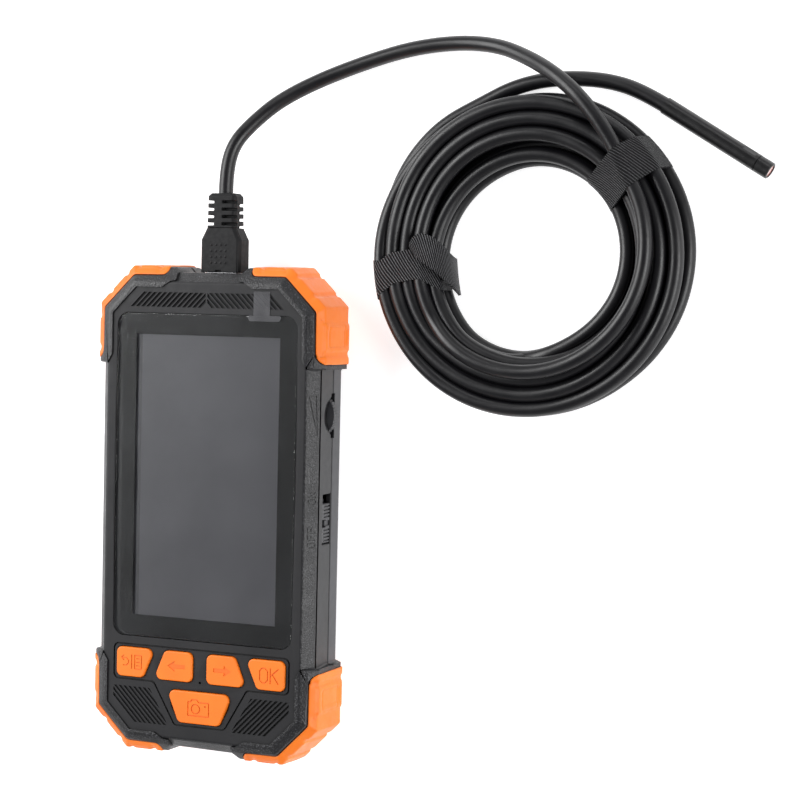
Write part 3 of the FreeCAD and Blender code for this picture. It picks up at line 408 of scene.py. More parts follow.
def spark_plastic():
    """Black moulded plastic with a coarse spark texture that glints; its lightest specks are
    painted glints.
    """
    made, tree, shader = material("spark_plastic")
    coords = add(tree, "TexCoord").outputs["Object"]
    cells = add(tree, "TexVoronoi", {"Scale": 2000.0, "Randomness": 1.0})
    join(tree, coords, cells.inputs["Vector"])
    speck = noise(tree, coords, 2200.0, 2.0)
    # Painted glints: the lightest specks in the colour stand in for the spark texture catching
    # the light.
    tone = ramp(tree, speck, [(0.42, rgb(23, 23, 25)), (0.58, rgb(34, 34, 36)),
                              (0.72, rgb(78, 78, 82))])
    # Painted shade in grooves and seams, by ambient occlusion.
    join(tree, painted_crevice_shade(tree, tone), shader.inputs["Base Color"])
    patch = noise(tree, coords, 120.0, 4.0)
    join(tree, remap(tree, patch, 0.3, 0.7, 0.36, 0.5), shader.inputs["Roughness"])
    pits = bump(tree, cells.outputs["Distance"], 0.14 * mm, 0.7)
    join(tree, bump(tree, speck, 0.06 * mm, 0.5, pits), shader.inputs["Normal"])
    return made


def rubber_guard():
    """Orange soft-touch guard with a fine moulded grain and faint scuffs."""
    made, tree, shader = material("guard_rubber")
    coords = add(tree, "TexCoord").outputs["Object"]
    tone = noise(tree, coords, 55.0, 7.0)
    base = ramp(tree, tone, [(0.28, rgb(246, 117, 14)), (0.5, rgb(252, 125, 18)),
                             (0.75, rgb(255, 133, 26))])
    # Painted shade in the guard's creases and outlines, by ambient occlusion.
    join(tree, painted_crevice_shade(tree, base, 0.7 * mm), shader.inputs["Base Color"])
    scuff = noise(tree, coords, 420.0, 5.0)
    join(tree, remap(tree, scuff, 0.3, 0.75, 0.42, 0.6), shader.inputs["Roughness"])
    grain = noise(tree, coords, 3200.0, 2.0)
    soft = bump(tree, scuff, 0.08 * mm, 0.35)
    join(tree, bump(tree, grain, 0.03 * mm, 0.6, soft), shader.inputs["Normal"])
    shader.inputs["Sheen Weight"].default_value = 0.15
    shader.inputs["Sheen Roughness"].default_value = 0.4
    shader.inputs["Subsurface Weight"].default_value = 0.08
    shader.inputs["Subsurface Radius"].default_value = (0.0012, 0.0005, 0.0002)
    return made


def jacket():
    """Black PVC jacket: satin, with long soft unevenness and dust specks."""
    made, tree, shader = material("cable_jacket")
    coords = add(tree, "TexCoord").outputs["Object"]
    speck = noise(tree, coords, 900.0, 3.0)
    tone = ramp(tree, speck, [(0.35, rgb(8, 8, 11)), (0.74, rgb(12, 11, 15)),
                              (0.8, rgb(36, 36, 42))])
    join(tree, tone, shader.inputs["Base Color"])
    wave = noise(tree, coords, 130.0, 4.0)
    join(tree, remap(tree, wave, 0.3, 0.7, 0.32, 0.44), shader.inputs["Roughness"])
    ripple = bump(tree, wave, 0.25 * mm, 0.25)
    join(tree, bump(tree, speck, 0.02 * mm, 0.5, ripple), shader.inputs["Normal"])
    return made


def webbing(name, rib):
    """Black hook-and-loop tape: shiny diagonal ribs, of a grey tone, over a dark ground. The rib
    tone given per strap is painted light: lighter for the lit strap, darker for the shaded one.
    """
    made, tree, shader = material(name)
    coords = add(tree, "TexCoord").outputs["UV"]
    turned = add(tree, "Mapping", {"Rotation": (0.0, 0.0, radians(24.0))})
    join(tree, coords, turned.inputs["Vector"])
    ribs = add(tree, "TexWave", {"Scale": 350.0, "Distortion": 0.9, "Detail": 2.0,
                                 "Detail Scale": 3.0})
    join(tree, turned.outputs["Vector"], ribs.inputs["Vector"])
    picks = add(tree, "TexWave", {"Scale": 760.0, "Distortion": 0.5}, bands_direction="Y")
    join(tree, turned.outputs["Vector"], picks.inputs["Vector"])
    tone = ramp(tree, ribs.outputs["Fac"], [(0.42, rgb(2, 2, 3)), (0.66, rgb(8, 8, 9)),
                                            (0.94, rgb(rib, rib, rib + 3))])
    join(tree, tone, shader.inputs["Base Color"])
    join(tree, remap(tree, ribs.outputs["Fac"], 0.3, 1.0, 0.9, 0.3),
         shader.inputs["Roughness"])
    shader.inputs["Specular IOR Level"].default_value = 0.36
    woven = bump(tree, ribs.outputs["Fac"], 0.34 * mm, 1.0)
    join(tree, bump(tree, picks.outputs["Fac"], 0.1 * mm, 0.6, woven),
         shader.inputs["Normal"])
    return made


def clear_glass():
    """Cover glass: clear, with a mirror sheen, faint haze and fine wiping marks."""
    made, tree, shader = material("cover_glass")
    coords = add(tree, "TexCoord").outputs["Object"]
    haze = noise(tree, coords, 45.0, 8.0)
    wipe = add(tree, "Mapping", {"Scale": (9.0, 1.0, 1.0), "Rotation": (0, 0, radians(24))})
    join(tree, coords, wipe.inputs["Vector"])
    marks = noise(tree, wipe.outputs["Vector"], 160.0, 6.0)
    gloss = remap(tree, marks, 0.4, 0.8, 0.04, 0.14)
    mirror = add(tree, "BsdfGlossy", {"Color": (1.0, 1.0, 1.0, 1.0)})
    join(tree, gloss, mirror.inputs["Roughness"])
    clear = add(tree, "BsdfTransparent", {"Color": (1.0, 1.0, 1.0, 1.0)})
    dust = add(tree, "BsdfDiffuse", {"Color": rgb(190, 192, 198)})
    veil = add(tree, "MixShader")
    join(tree, remap(tree, haze, 0.35, 0.8, 0.0, 0.03), veil.inputs[0])
    join(tree, clear.outputs[0], veil.inputs[1])
    join(tree, dust.outputs[0], veil.inputs[2])
    fresnel = add(tree, "Fresnel", {"IOR": 1.45})
    whole = add(tree, "MixShader")
    join(tree, fresnel.outputs[0], whole.inputs[0])
    join(tree, veil.outputs[0], whole.inputs[1])
    join(tree, mirror.outputs[0], whole.inputs[2])
    tree.nodes.remove(shader)
    join(tree, whole.outputs[0], tree.nodes["Material Output"].inputs["Surface"])
    return made


def glass_core():
    """Sides and back of the glass, cemented to the print: nothing but a faint tint."""
    made, tree, shader = material("glass_core")
    coords = add(tree, "TexCoord").outputs["Object"]
    tint = ramp(tree, noise(tree, coords, 60.0), [(0.3, (0.96, 0.97, 0.97, 1.0)),
                                                  (0.7, (0.99, 1.0, 1.0, 1.0))])
    clear = add(tree, "BsdfTransparent")
    join(tree, tint, clear.inputs["Color"])
    tree.nodes.remove(shader)
    join(tree, clear.outputs[0], tree.nodes["Material Output"].inputs["Surface"])
    return made


def film():
    """Grey translucent film with slight waves."""
    made, tree, shader = material("film_clear")
    coords = add(tree, "TexCoord").outputs["Object"]
    wave = noise(tree, coords, 260.0, 3.0)
    join(tree, ramp(tree, wave, [(0.3, rgb(90, 90, 94)), (0.7, rgb(112, 112, 116))]),
         shader.inputs["Base Color"])
    join(tree, remap(tree, wave, 0.3, 0.7, 0.25, 0.4), shader.inputs["Roughness"])
    join(tree, bump(tree, wave, 0.15 * mm, 0.5), shader.inputs["Normal"])
    clear = add(tree, "BsdfTransparent")
    mix = add(tree, "MixShader", {0: 0.3})
    join(tree, clear.outputs[0], mix.inputs[1])
    join(tree, shader.outputs[0], mix.inputs[2])
    join(tree, mix.outputs[0], tree.nodes["Material Output"].inputs["Surface"])
    return made


def dress(piece, *materials):
    """Give a piece its materials."""
    slots = piece.data.materials
    slots.clear()
    for made in materials:
        slots.append(made)


# Height of the sunk marks' floors in the keys, and how far above it their tone fades.
mark_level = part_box("button_ok")[1].z - 0.16 * mm
mark_fade = 0.06 * mm


def key_silicone():
    """Orange silicone keys; the floors of the sunk marks are a darker tone."""
    made, tree, shader = material("key_silicone")
    coords = add(tree, "TexCoord").outputs["Object"]
    tone = noise(tree, coords, 80.0, 6.0)
    base = ramp(tree, tone, [(0.3, rgb(248, 118, 14)), (0.7, rgb(254, 128, 20))])
    height = add(tree, "SeparateXYZ")
    join(tree, coords, height.inputs[0])
    sunk = remap(tree, height.outputs["Z"], mark_level, mark_level + mark_fade, 1.0, 0.0)
    flat = add(tree, "SeparateXYZ")
    join(tree, add(tree, "TexCoord").outputs["Normal"], flat.inputs[0])
    level = remap(tree, flat.outputs["Z"], 0.97, 0.99, 0.0, 1.0)
    both = add(tree, "Math", operation="MULTIPLY")
    join(tree, sunk, both.inputs[0])
    join(tree, level, both.inputs[1])
    marked = add(tree, "MixRGB", {"Color2": rgb(244, 110, 18)})
    join(tree, both.outputs[0], marked.inputs["Fac"])
    join(tree, base, marked.inputs["Color1"])
    # Painted shade in the marks' thin grooves, by ambient occlusion.
    join(tree, painted_crevice_shade(tree, marked.outputs["Color"], 0.1 * mm), shader.inputs["Base Color"])
    gloss = noise(tree, coords, 500.0, 4.0)
    join(tree, remap(tree, gloss, 0.3, 0.7, 0.45, 0.58), shader.inputs["Roughness"])
    grain = noise(tree, coords, 2800.0)
    join(tree, bump(tree, grain, 0.03 * mm), shader.inputs["Normal"])
    return made


spark_black = spark_plastic()
# In the materials below, a reach for grooves and seams gives painted shade there, by ambient
# occlusion.
smooth_black = surface("smooth_plastic", rgb(30, 30, 32), rgb(38, 38, 40), patch=70.0,
                       rough=(0.45, 0.56), rough_scale=400.0, grain=3000.0, specular=0.3,
                       painted_shade_reach=1.2 * mm)
wall_black = surface("wall_plastic", rgb(33, 33, 35), rgb(41, 41, 43), patch=70.0,
                     rough=(0.36, 0.44), rough_scale=400.0, grain=3000.0, painted_shade_reach=0.8 * mm)
# Painted light: the rear cover's side walls are the same black plastic, given a lighter tone for
# the light the floor throws on them.
lit_lower_wall = surface("lower_wall_painted_light", rgb(60, 60, 63), rgb(68, 68, 72), patch=70.0,
                     rough=(0.36, 0.44), rough_scale=400.0, grain=3000.0, painted_shade_reach=0.8 * mm)
# Painted shade: the grille's groove floors are the same black plastic, given a near-black tone
# for the shade in the grooves.
groove_painted_shade = surface("groove_floor", rgb(8, 8, 9), rgb(12, 12, 13), patch=120.0,
                       rough=(0.7, 0.85))
guard_orange = rubber_guard()
key_orange = key_silicone()
cable_black = jacket()
# Painted light and shade: both straps are the same tape, the left given lighter ribs for the
# light on it, the right darker ribs for its shade.
strap_lit_tone = webbing("strap_webbing_painted_lit", 98)
strap_shaded_tone = webbing("strap_webbing_painted_shade", 58)
glass_clear = clear_glass()
glass_inner = glass_core()
plug_black = surface("overmould", rgb(13, 13, 15), rgb(18, 18, 20), patch=200.0,
                     rough=(0.55, 0.68), rough_scale=700.0, grain=2400.0,
                     grain_depth=0.03 * mm, specular=0.3, painted_shade_reach=0.8 * mm)
# Painted reflection: the black nylon is given a mid-grey tone so that the wheel's face reads as
# lit by what it reflects; the power slider shares it.
wheel_painted_reflection = surface("wheel_nylon_painted_reflection", rgb(52, 52, 55), rgb(64, 64, 67), patch=300.0,
                      rough=(0.35, 0.5), rough_scale=900.0, grain=3500.0,
                      grain_depth=0.03 * mm, painted_shade_reach=0.5 * mm)
head_black = surface("head_lacquer", rgb(8, 8, 9), rgb(13, 13, 14), patch=120.0,
                     rough=(0.3, 0.42), rough_scale=500.0, grain=1800.0,
                     grain_depth=0.006 * mm, coat=0.1)
lens_glass = surface("lens_coating", rgb(196, 120, 112), rgb(228, 176, 168), patch=600.0,
                     rough=(0.08, 0.16), rough_scale=900.0, grain=2000.0,
                     grain_depth=0.004 * mm, specular=0.8, coat=1.0)
bright_steel = surface("plated_steel", rgb(150, 150, 152), rgb(186, 186, 188), patch=400.0,
                       rough=(0.22, 0.36), rough_scale=900.0, grain=2600.0,
                       grain_depth=0.008 * mm, metallic=1.0)

dress(cable, cable_black)


# ---------------------------------------------------------------- straps
strap_thick = 1.0 * mm
strap_slack = 0.25 * mm
strap_edge = 0.25 * mm
strap_rounds = 220
strap_rows = 30
strap_smoothing = 4
strand_sides = 20
flap_steps = 60
flap_crown = 0.5 * mm
# A strand crosses a strap's row only where it is this far out of the coil's middle, this
# near to the strap's line, and no further than this from one of its points to the next.
crossing_reach = 20.0 * mm
crossing_beside = 30.0 * mm
crossing_step = 20.0 * mm


def blend_stops(value, stops):
    """Value between (position, value) stops, eased."""
    for (a, low), (b, high) in zip(stops, stops[1:]):
        if value <= b:
            return low + (high - low) * ease((value - a) / (b - a))
    return stops[-1][1]


def crossings(line, along, side, offset, drift, pinch):
    """(distance out, height) of each strand where one row of the strap crosses it."""
    spots = line - np.array(coil_middle)
    reach = spots[:, 0] * along.x + spots[:, 1] * along.y
    beside = spots[:, 0] * side.x + spots[:, 1] * side.y
    found = []
    near = (reach > crossing_reach) & (np.abs(beside) < crossing_beside)
    for i in np.nonzero(near)[0][:-1]:
        row_a = offset * blend_stops(reach[i], pinch) + blend_stops(reach[i], drift)
        row_b = offset * blend_stops(reach[i + 1], pinch) + blend_stops(reach[i + 1], drift)
        miss_a = beside[i] - row_a
        miss_b = beside[i + 1] - row_b
        if miss_a * miss_b < 0.0 and abs(miss_a - miss_b) < crossing_step:
            share = miss_a / (miss_a - miss_b)
            found.append((reach[i] + share * (reach[i + 1] - reach[i]),
                          line[i, 2] + share * (line[i + 1, 2] - line[i, 2])))
    return found


def hull(points):
    """Convex hull of flat points, counter-clockwise."""
    ordered = sorted(points)
    halves = []
    for run in (ordered, ordered[::-1]):
        chain = []
        for p in run:
            while len(chain) > 1:
                a, b = chain[-2], chain[-1]
                if (b[0] - a[0]) * (p[1] - a[1]) - (b[1] - a[1]) * (p[0] - a[0]) > 0:
                    break
                chain.pop()
            chain.append(p)
        halves += chain[:-1]
    return halves


def even_ring(points, count):
    """The same closed outline as evenly spaced points, from its lowest middle on."""
    ring = np.array(points + points[:1])
    steps = np.hypot(*(ring[1:] - ring[:-1]).T)
    run = np.concatenate([[0.0], np.cumsum(steps)])
    middle = (ring[:, 0].min() + ring[:, 0].max()) / 2.0
    crossed = []
    for i, (a, b) in enumerate(zip(ring, ring[1:])):
        if a[0] != b[0] and (a[0] - middle) * (b[0] - middle) <= 0.0:
            share = (middle - a[0]) / (b[0] - a[0])
            crossed.append((a[1] + share * (b[1] - a[1]), run[i] + share * steps[i]))
    start = min(crossed)[1]
    at = (start + np.arange(count) / count * run[-1]) % run[-1]
    return np.column_stack([np.interp(at, run, ring[:, 0]), np.interp(at, run, ring[:, 1])])


def coil_place(angle, out, beside, height):
    """Point by its distance out along an angle of the coil, beside it and up."""
    along = Vector((cos(angle), sin(angle), 0.0))
    side = Vector((-along.y, along.x, 0.0))
    centre = Vector((coil_middle.x, coil_middle.y, 0.0))
    return centre + along * out + side * beside + Vector((0.0, 0.0, height))


def strap_ring(angle, width, drift, pinch):
    """Inner surface of a tight band round the coil: rows of points across its width."""
    along = Vector((cos(angle), sin(angle), 0.0))
    side = Vector((-along.y, along.x, 0.0))
    turns = [2 * pi * i / strand_sides for i in range(strand_sides)]
    round_points = [(cos(turn), sin(turn)) for turn in turns]
    grow = cable_radius + strap_slack
    rings = []
    for row in range(strap_rows + 1):
        offset = width * (row / strap_rows - 0.5)
        cloud = []
        for out, height in crossings(cable_line, along, side, offset, drift, pinch):
            cloud += [(out + grow * x, max(height + grow * z, strap_thick))
                      for x, z in round_points]
        rings.append(even_ring(hull(cloud), strap_rounds))
    rings = np.array(rings)
    for _ in range(strap_smoothing):
        rings = (np.roll(rings, 1, axis=1) + 2.0 * rings + np.roll(rings, -1, axis=1)) / 4.0
        rings[1:-1] = (rings[:-2] + 2.0 * rings[1:-1] + rings[2:]) / 4.0
    places = []
    for row, ring in enumerate(rings):
        offset = width * (row / strap_rows - 0.5)
        places.append([coil_place(angle, out, offset * blend_stops(out, pinch)
                                  + blend_stops(out, drift), z) for out, z in ring])
    return places


def flap(angle, edge_a, edge_b, steps):
    """Loose end of a strap: rows of points between two smooth edges."""
    def smooth_edge(stops):
        places = [coil_place(angle, *(value * mm for value in stop)) for stop in stops]
        curve = bpy.data.curves.new("edge", "CURVE")
        curve.dimensions = "3D"
        spline = curve.splines.new("NURBS")
        spline.points.add(len(places) - 1)
        for spot, place in zip(spline.points, places):
            spot.co = (*place, 1.0)
        spline.order_u = 4
        spline.use_endpoint_u = True
        spline.resolution_u = 12
        helper = bpy.data.objects.new("edge", curve)
        mesh = bpy.data.meshes.new_from_object(helper)
        line = np.array([v.co for v in mesh.vertices])
        bpy.data.meshes.remove(mesh)
        bpy.data.objects.remove(helper)
        bpy.data.curves.remove(curve)
        run = np.concatenate([[0.0], np.cumsum(np.linalg.norm(np.diff(line, axis=0), axis=1))])
        at = np.linspace(0.0, run[-1], steps)
        return np.column_stack([np.interp(at, run, line[:, k]) for k in range(3)])

    low = smooth_edge(edge_a)
    high = smooth_edge(edge_b)
    rows = []
    for row in range(strap_rows + 1):
        share = row / strap_rows
        crown = flap_crown * sin(pi * share)
        rows.append([Vector(a + (b - a) * share) + Vector((0.0, 0.0, crown))
                     for a, b in zip(low, high)])
    return rows


def tape(name, width, patches, look):
    """Woven tape from patches of rows: thickness, soft edges and the weave's own layout."""
    spots = []
    faces = []
    layout = []
    for rows, closed in patches:
        first = len(spots)
        count = len(rows[0])
        spots += [tuple(p) for row in rows for p in row]
        middle_row = rows[len(rows) // 2]
        step = sum((b - a).length for a, b in zip(middle_row, middle_row[1:])) / (count - 1)
        across = width / (len(rows) - 1)
        for r in range(len(rows) - 1):
            for c in range(count if closed else count - 1):
                d = (c + 1) % count
                faces.append([first + i for i in (r * count + c, r * count + d,
                                                  (r + 1) * count + d, (r + 1) * count + c)])
                layout.append([(c * step, r * across), ((c + 1) * step, r * across),
                               ((c + 1) * step, (r + 1) * across), (c * step, (r + 1) * across)])
    mesh = bpy.data.meshes.new(name)
    mesh.from_pydata(spots, [], faces)
    layer = mesh.uv_layers.new(name="weave")
    for poly, corners in zip(mesh.polygons, layout):
        poly.use_smooth = True
        for corner, place in zip(poly.loop_indices, corners):
            layer.data[corner].uv = place
    made = bpy.data.objects.new(name, mesh)
    bpy.context.scene.collection.objects.link(made)
    solid = made.modifiers.new("thickness", "SOLIDIFY")
    solid.thickness = strap_thick
    solid.offset = 1.0
    edge = made.modifiers.new("edge", "BEVEL")
    edge.width = strap_edge
    edge.segments = 2
    edge.limit_method = "ANGLE"
    edge.angle_limit = radians(50.0)
    dress(made, look)
    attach(made, "probe")
    return made


# Where the straps lie. Drift and pinch are (distance out, sideways shift) and (distance out,
# share of the width) stops in metres; a flap's edges are (out, beside, height) in mm.
left_angle = radians(190.0)
left_width = 13.0 * mm
left_drift = [(0.026, 0.0045), (0.031, 0.0012), (0.037, -0.0022), (0.044, -0.0022),
              (0.0505, -0.0002), (0.054, 0.001)]
left_pinch = [(0.029, 0.95), (0.033, 0.76), (0.049, 0.76), (0.0535, 1.0)]
left_flap_a = [(27.6, 9.4, 1.4), (26.2, 9.0, 5.5), (26.0, 7.4, 10.4), (28.6, 3.2, 15.0),
               (30.7, 0.2, 16.6), (33.8, -2.4, 17.2), (35.9, -4.8, 17.4), (37.2, -7.8, 17.2)]
left_flap_b = [(27.2, -2.6, 1.4), (26.0, -2.6, 6.0), (25.2, -3.2, 10.6), (26.1, -6.2, 14.2),
               (27.8, -9.1, 16.4), (31.2, -11.4, 17.0), (34.3, -11.8, 17.2), (36.1, -10.1, 17.0)]
right_angle = radians(38.5)
right_width = 12.6 * mm
right_drift = [(0.026, 0.0), (0.06, 0.0)]
right_pinch = [(0.026, 1.0), (0.06, 1.0)]
strap_left = tape("strap_left_band", left_width,
                  [(strap_ring(left_angle, left_width, left_drift, left_pinch), True),
                   (flap(left_angle, left_flap_a, left_flap_b, flap_steps), False)],
                  strap_lit_tone)
strap_right = tape("strap_right_band", right_width,
                   [(strap_ring(right_angle, right_width, right_drift, right_pinch), True)],
                   strap_shaded_tone)
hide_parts("strap_left")
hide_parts("strap_right")


# ---------------------------------------------------------------- mouldings from the frame
weld_distance = 1e-6
cut_distance = 1e-7
flat_angle = 0.02
same_plane = 0.9998
sharp_angle = radians(20.0)

# Panel outlines on the guards, in mm: (from, to, bottom, top) along the side or the end.
side_face = 41.0
end_face = 80.5
side_outlines = [(53.4, 65.5, 24.5, 26.5), (56.6, 63.6, 10.5, 21.5)]
end_outlines = [(17.6, 28.0, 24.5, 26.5), (18.6, 26.6, 10.5, 21.5)]
outline_depth = 0.24 * mm
outline_width = 0.3


def cleaned(node):
    """A node's mesh as a bmesh, with its doubled corners and flat triangles joined."""
    work = bmesh.new()
    work.from_mesh(nodes[node].data)
    bmesh.ops.remove_doubles(work, verts=work.verts, dist=weld_distance)
    split_at_holes(work)
    bmesh.ops.dissolve_limit(work, angle_limit=flat_angle, verts=work.verts,
                             edges=work.edges, delimit={"SEAM"})
    return work


def rim_spans(region, owner, key, axis):
    """Low and high limit along an axis of each closed rim of a flat region."""
    rims = [e for f in region for e in f.edges
            if sum(owner.get(g) == key for g in e.link_faces) == 1]
    left = set(rims)
    spans = []
    while left:
        chain = [left.pop()]
        for edge in chain:
            for vert in edge.verts:
                for other in vert.link_edges:
                    if other in left:
                        left.remove(other)
                        chain.append(other)
        values = [v.co[axis] for e in chain for v in e.verts]
        corners = [v.co for e in chain for v in e.verts]
        size = sum(max(c[k] for c in corners) - min(c[k] for c in corners) for k in range(3))
        spans.append((size, min(values), max(values)))
    spans.sort(reverse=True)
    return [(low, high) for _, low, high in spans[1:]]


def split_at_holes(work):
    """Cut each flat area through its holes, so that every piece has one simple outline."""
    owner = {}
    regions = []
    for seed in work.faces:
        if seed in owner:
            continue
        region = [seed]
        owner[seed] = len(regions)
        for face in region:
            for edge in face.edges:
                for other in edge.link_faces:
                    if other not in owner and other.normal.dot(seed.normal) > same_plane:
                        owner[other] = len(regions)
                        region.append(other)
        regions.append(region)
    plans = []
    for key, region in enumerate(regions):
        axis = 1 if abs(region[0].normal.z) > 0.9 else 2
        cuts = []
        for low, high in sorted(rim_spans(region, owner, key, axis)):
            if cuts and low < cuts[-1][1]:
                cuts[-1] = (max(cuts[-1][0], low), min(cuts[-1][1], high))
            else:
                cuts.append((low, high))
        plans.append((region, axis, [(low + high) / 2.0 for low, high in cuts]))
    for region, axis, cuts in plans:
        for place in cuts:
            spot = Vector((0.0, 0.0, 0.0))
            spot[axis] = place
            facing = Vector((0.0, 0.0, 0.0))
            facing[axis] = 1.0
            region = [f for f in region if f.is_valid]
            whole = region + list({e for f in region for e in f.edges})
            whole += list({v for f in region for v in f.verts})
            cut = bmesh.ops.bisect_plane(work, geom=whole, dist=cut_distance,
                                         plane_co=spot, plane_no=facing)
            region = [g for g in cut["geom"] if isinstance(g, bmesh.types.BMFace)]
            for part in cut["geom_cut"]:
                if isinstance(part, bmesh.types.BMEdge):
                    part.seam = True


def stand_in(node, name, mesh):
    """A piece that stands for a node, on the node's own body."""
    made = bpy.data.objects.new(name, mesh)
    bpy.context.scene.collection.objects.link(made)
    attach(made, nodes[node]["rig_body"])
    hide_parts(node)
    return made


def soften(node, name, width, least=1.2 * mm, segments=3):
    """A moulding with its long edges rounded; edges of small marks stay crisp."""
    work = cleaned(node)
    weight = work.edges.layers.float.new("bevel_weight_edge")
    for face in work.faces:
        face.smooth = True
    for edge in work.edges:
        sharp = edge.is_manifold and edge.calc_face_angle() > sharp_angle
        if not sharp:
            continue
        broad = all(f.calc_area() / max(e.calc_length() for e in f.edges) > least
                    for f in edge.link_faces)
        if broad and edge.calc_length() > least:
            edge[weight] = 1.0
        else:
            edge.smooth = False
    mesh = bpy.data.meshes.new(name)
    work.to_mesh(mesh)
    work.free()
    made = stand_in(node, name, mesh)
    rounding = made.modifiers.new("rounding", "BEVEL")
    rounding.limit_method = "WEIGHT"
    rounding.width = width
    rounding.segments = segments
    rounding.use_clamp_overlap = False
    flats = made.modifiers.new("flats", "WEIGHTED_NORMAL")
    flats.keep_sharp = True
    return made


def melt(node, name, voxel, rounds):
    """A soft moulding: every edge melted round by remeshing and smoothing."""
    work = cleaned(node)
    mesh = bpy.data.meshes.new(name)
    work.to_mesh(mesh)
    work.free()
    made = stand_in(node, name, mesh)
    skin = made.modifiers.new("skin", "REMESH")
    skin.mode = "VOXEL"
    skin.voxel_size = voxel
    skin.use_smooth_shade = True
    soft = made.modifiers.new("soft", "SMOOTH")
    soft.factor = 0.5
    soft.iterations = rounds
    return made


def outline_distance(along, height, outline):
    """Distance in mm from each point to the sides of a rectangle."""
    low, high, bottom, top = outline
    inside = np.minimum(np.minimum(along - low, high - along),
                        np.minimum(height - bottom, top - height))
    beside = np.maximum(np.maximum(low - along, along - high), 0.0)
    above = np.maximum(np.maximum(bottom - height, height - top), 0.0)
    return np.where(inside > 0.0, inside, np.hypot(beside, above))


def engrave(piece):
    """Sink thin panel outlines into a guard's side and end, on the melted mesh itself."""
    graph = bpy.context.evaluated_depsgraph_get()
    piece.data = bpy.data.meshes.new_from_object(piece.evaluated_get(graph))
    piece.modifiers.clear()
    verts = piece.data.vertices
    places = np.empty(3 * len(verts), dtype=np.float32)
    normals = np.empty(3 * len(verts), dtype=np.float32)
    verts.foreach_get("co", places)
    verts.foreach_get("normal", normals)
    x, y, z = np.abs(places.reshape(-1, 3).T) / mm
    side_gap = np.min([outline_distance(y, z, outline) for outline in side_outlines], axis=0)
    end_gap = np.min([outline_distance(x, z, outline) for outline in end_outlines], axis=0)
    side_depth = np.exp(-(side_gap / outline_width) ** 2)
    end_depth = np.exp(-(end_gap / outline_width) ** 2)
    depth = np.where(x > side_face, side_depth, np.where(y > end_face, end_depth, 0.0))
    places -= normals * np.repeat(outline_depth * depth, 3).astype(np.float32)
    verts.foreach_set("co", places)
    piece.data.update()


def paint_faces(piece, slot_index, picks):
    """Material slot for the faces that a test of normal and centre picks."""
    for face in piece.data.polygons:
        if picks(face.normal, face.center):
            face.material_index = slot_index


def recessed_front(normal, centre):
    """Front surfaces below the raised rim."""
    return normal.z > 0.99 and centre.z < face_level + tolerance


def side_wall(normal, centre):
    """The flat side walls between the guards."""
    return abs(normal.x) > 0.99 and abs(centre.x) < wall_side + tolerance


def groove_floor(normal, centre):
    """Floors of the grille's grooves."""
    return normal.z > 0.99 and groove_level[0] < centre.z < groove_level[1]


def facing_up(normal, centre):
    """Everything that faces straight up."""
    return normal.z > 0.99


face_level = 27.5 * mm
groove_level = (26.5 * mm, 27.3 * mm)
wall_side = 40.5 * mm
tolerance = 0.1 * mm
cover_bevel = 0.7 * mm
cover_least = 1.6 * mm

front = soften("front_cover", "front_shell", cover_bevel, cover_least)
rear = soften("rear_cover", "rear_shell", cover_bevel, cover_least)
# The rear cover's walls take the lighter copy: painted light.
for shell, wall_look in ((front, wall_black), (rear, lit_lower_wall)):
    dress(shell, spark_black, smooth_black, wall_look, groove_painted_shade)
    paint_faces(shell, 1, recessed_front)
    paint_faces(shell, 2, side_wall)
# Painted shade: the grille's groove floors get the near-black copy.
paint_faces(front, 3, groove_floor)

guard_voxel = 0.4 * mm
guard_rounds = 6
plug_voxel = 0.15 * mm
plug_rounds = 2
relief_rounds = 3

for corner in ("top_right", "top_left", "bottom_right", "bottom_left"):
    guard = melt("bumper_" + corner, "guard_" + corner, guard_voxel,
                 guard_rounds)
    engrave(guard)
    dress(guard, guard_orange)

plug = melt("plug_body", "plug_overmould", plug_voxel, plug_rounds)
relief = melt("strain_relief", "plug_strain_relief", plug_voxel,
              relief_rounds)
for piece in (plug, relief):
    dress(piece, plug_black)

# The glass is cemented to the print: a hair's gap keeps their two faces apart.
glass_bevel = 0.25 * mm
glass_least = 0.5 * mm
glass_gap = 0.05 * mm
pane = soften("screen_glass", "screen_pane", glass_bevel, glass_least, 2)
dress(pane, glass_inner, glass_clear)
paint_faces(pane, 1, facing_up)
print_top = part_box("screen_mask")[1].z
for vert in pane.data.vertices:
    if vert.co.z < print_top + tolerance:
        vert.co.z = print_top + glass_gap

# ---------------------------------------------------------------- nodes that keep their shape
display_grey = surface("display_face", rgb(126, 125, 131), rgb(133, 132, 138), patch=30.0,
                       rough=(0.3, 0.4), grain=2000.0, grain_depth=0.004 * mm)
display_edge = surface("display_edge", rgb(98, 97, 103), rgb(104, 103, 109), patch=30.0,
                       rough=(0.3, 0.4), grain=2000.0, grain_depth=0.004 * mm)
ink_black = surface("mask_ink", rgb(3, 3, 4), rgb(5, 5, 6), patch=40.0, rough=(0.4, 0.5),
                    grain=2000.0, grain_depth=0.004 * mm)
foam_black = surface("foam_black", rgb(20, 20, 20), rgb(30, 30, 30), patch=500.0,
                     rough=(0.8, 0.95))
grey_rubber = surface("membrane_rubber", rgb(120, 120, 124), rgb(136, 136, 140), patch=200.0,
                      rough=(0.5, 0.7))
board_green = surface("board_mask", rgb(14, 84, 46), rgb(22, 104, 58), patch=250.0,
                      rough=(0.25, 0.4), rough_scale=500.0, grain=1500.0,
                      grain_depth=0.03 * mm)
chip_black = surface("chip_resin", rgb(26, 26, 27), rgb(38, 38, 39), patch=600.0,
                     rough=(0.5, 0.7))
gold = surface("contact_gold", rgb(206, 160, 84), rgb(228, 186, 110), patch=500.0,
               rough=(0.2, 0.35), metallic=1.0)
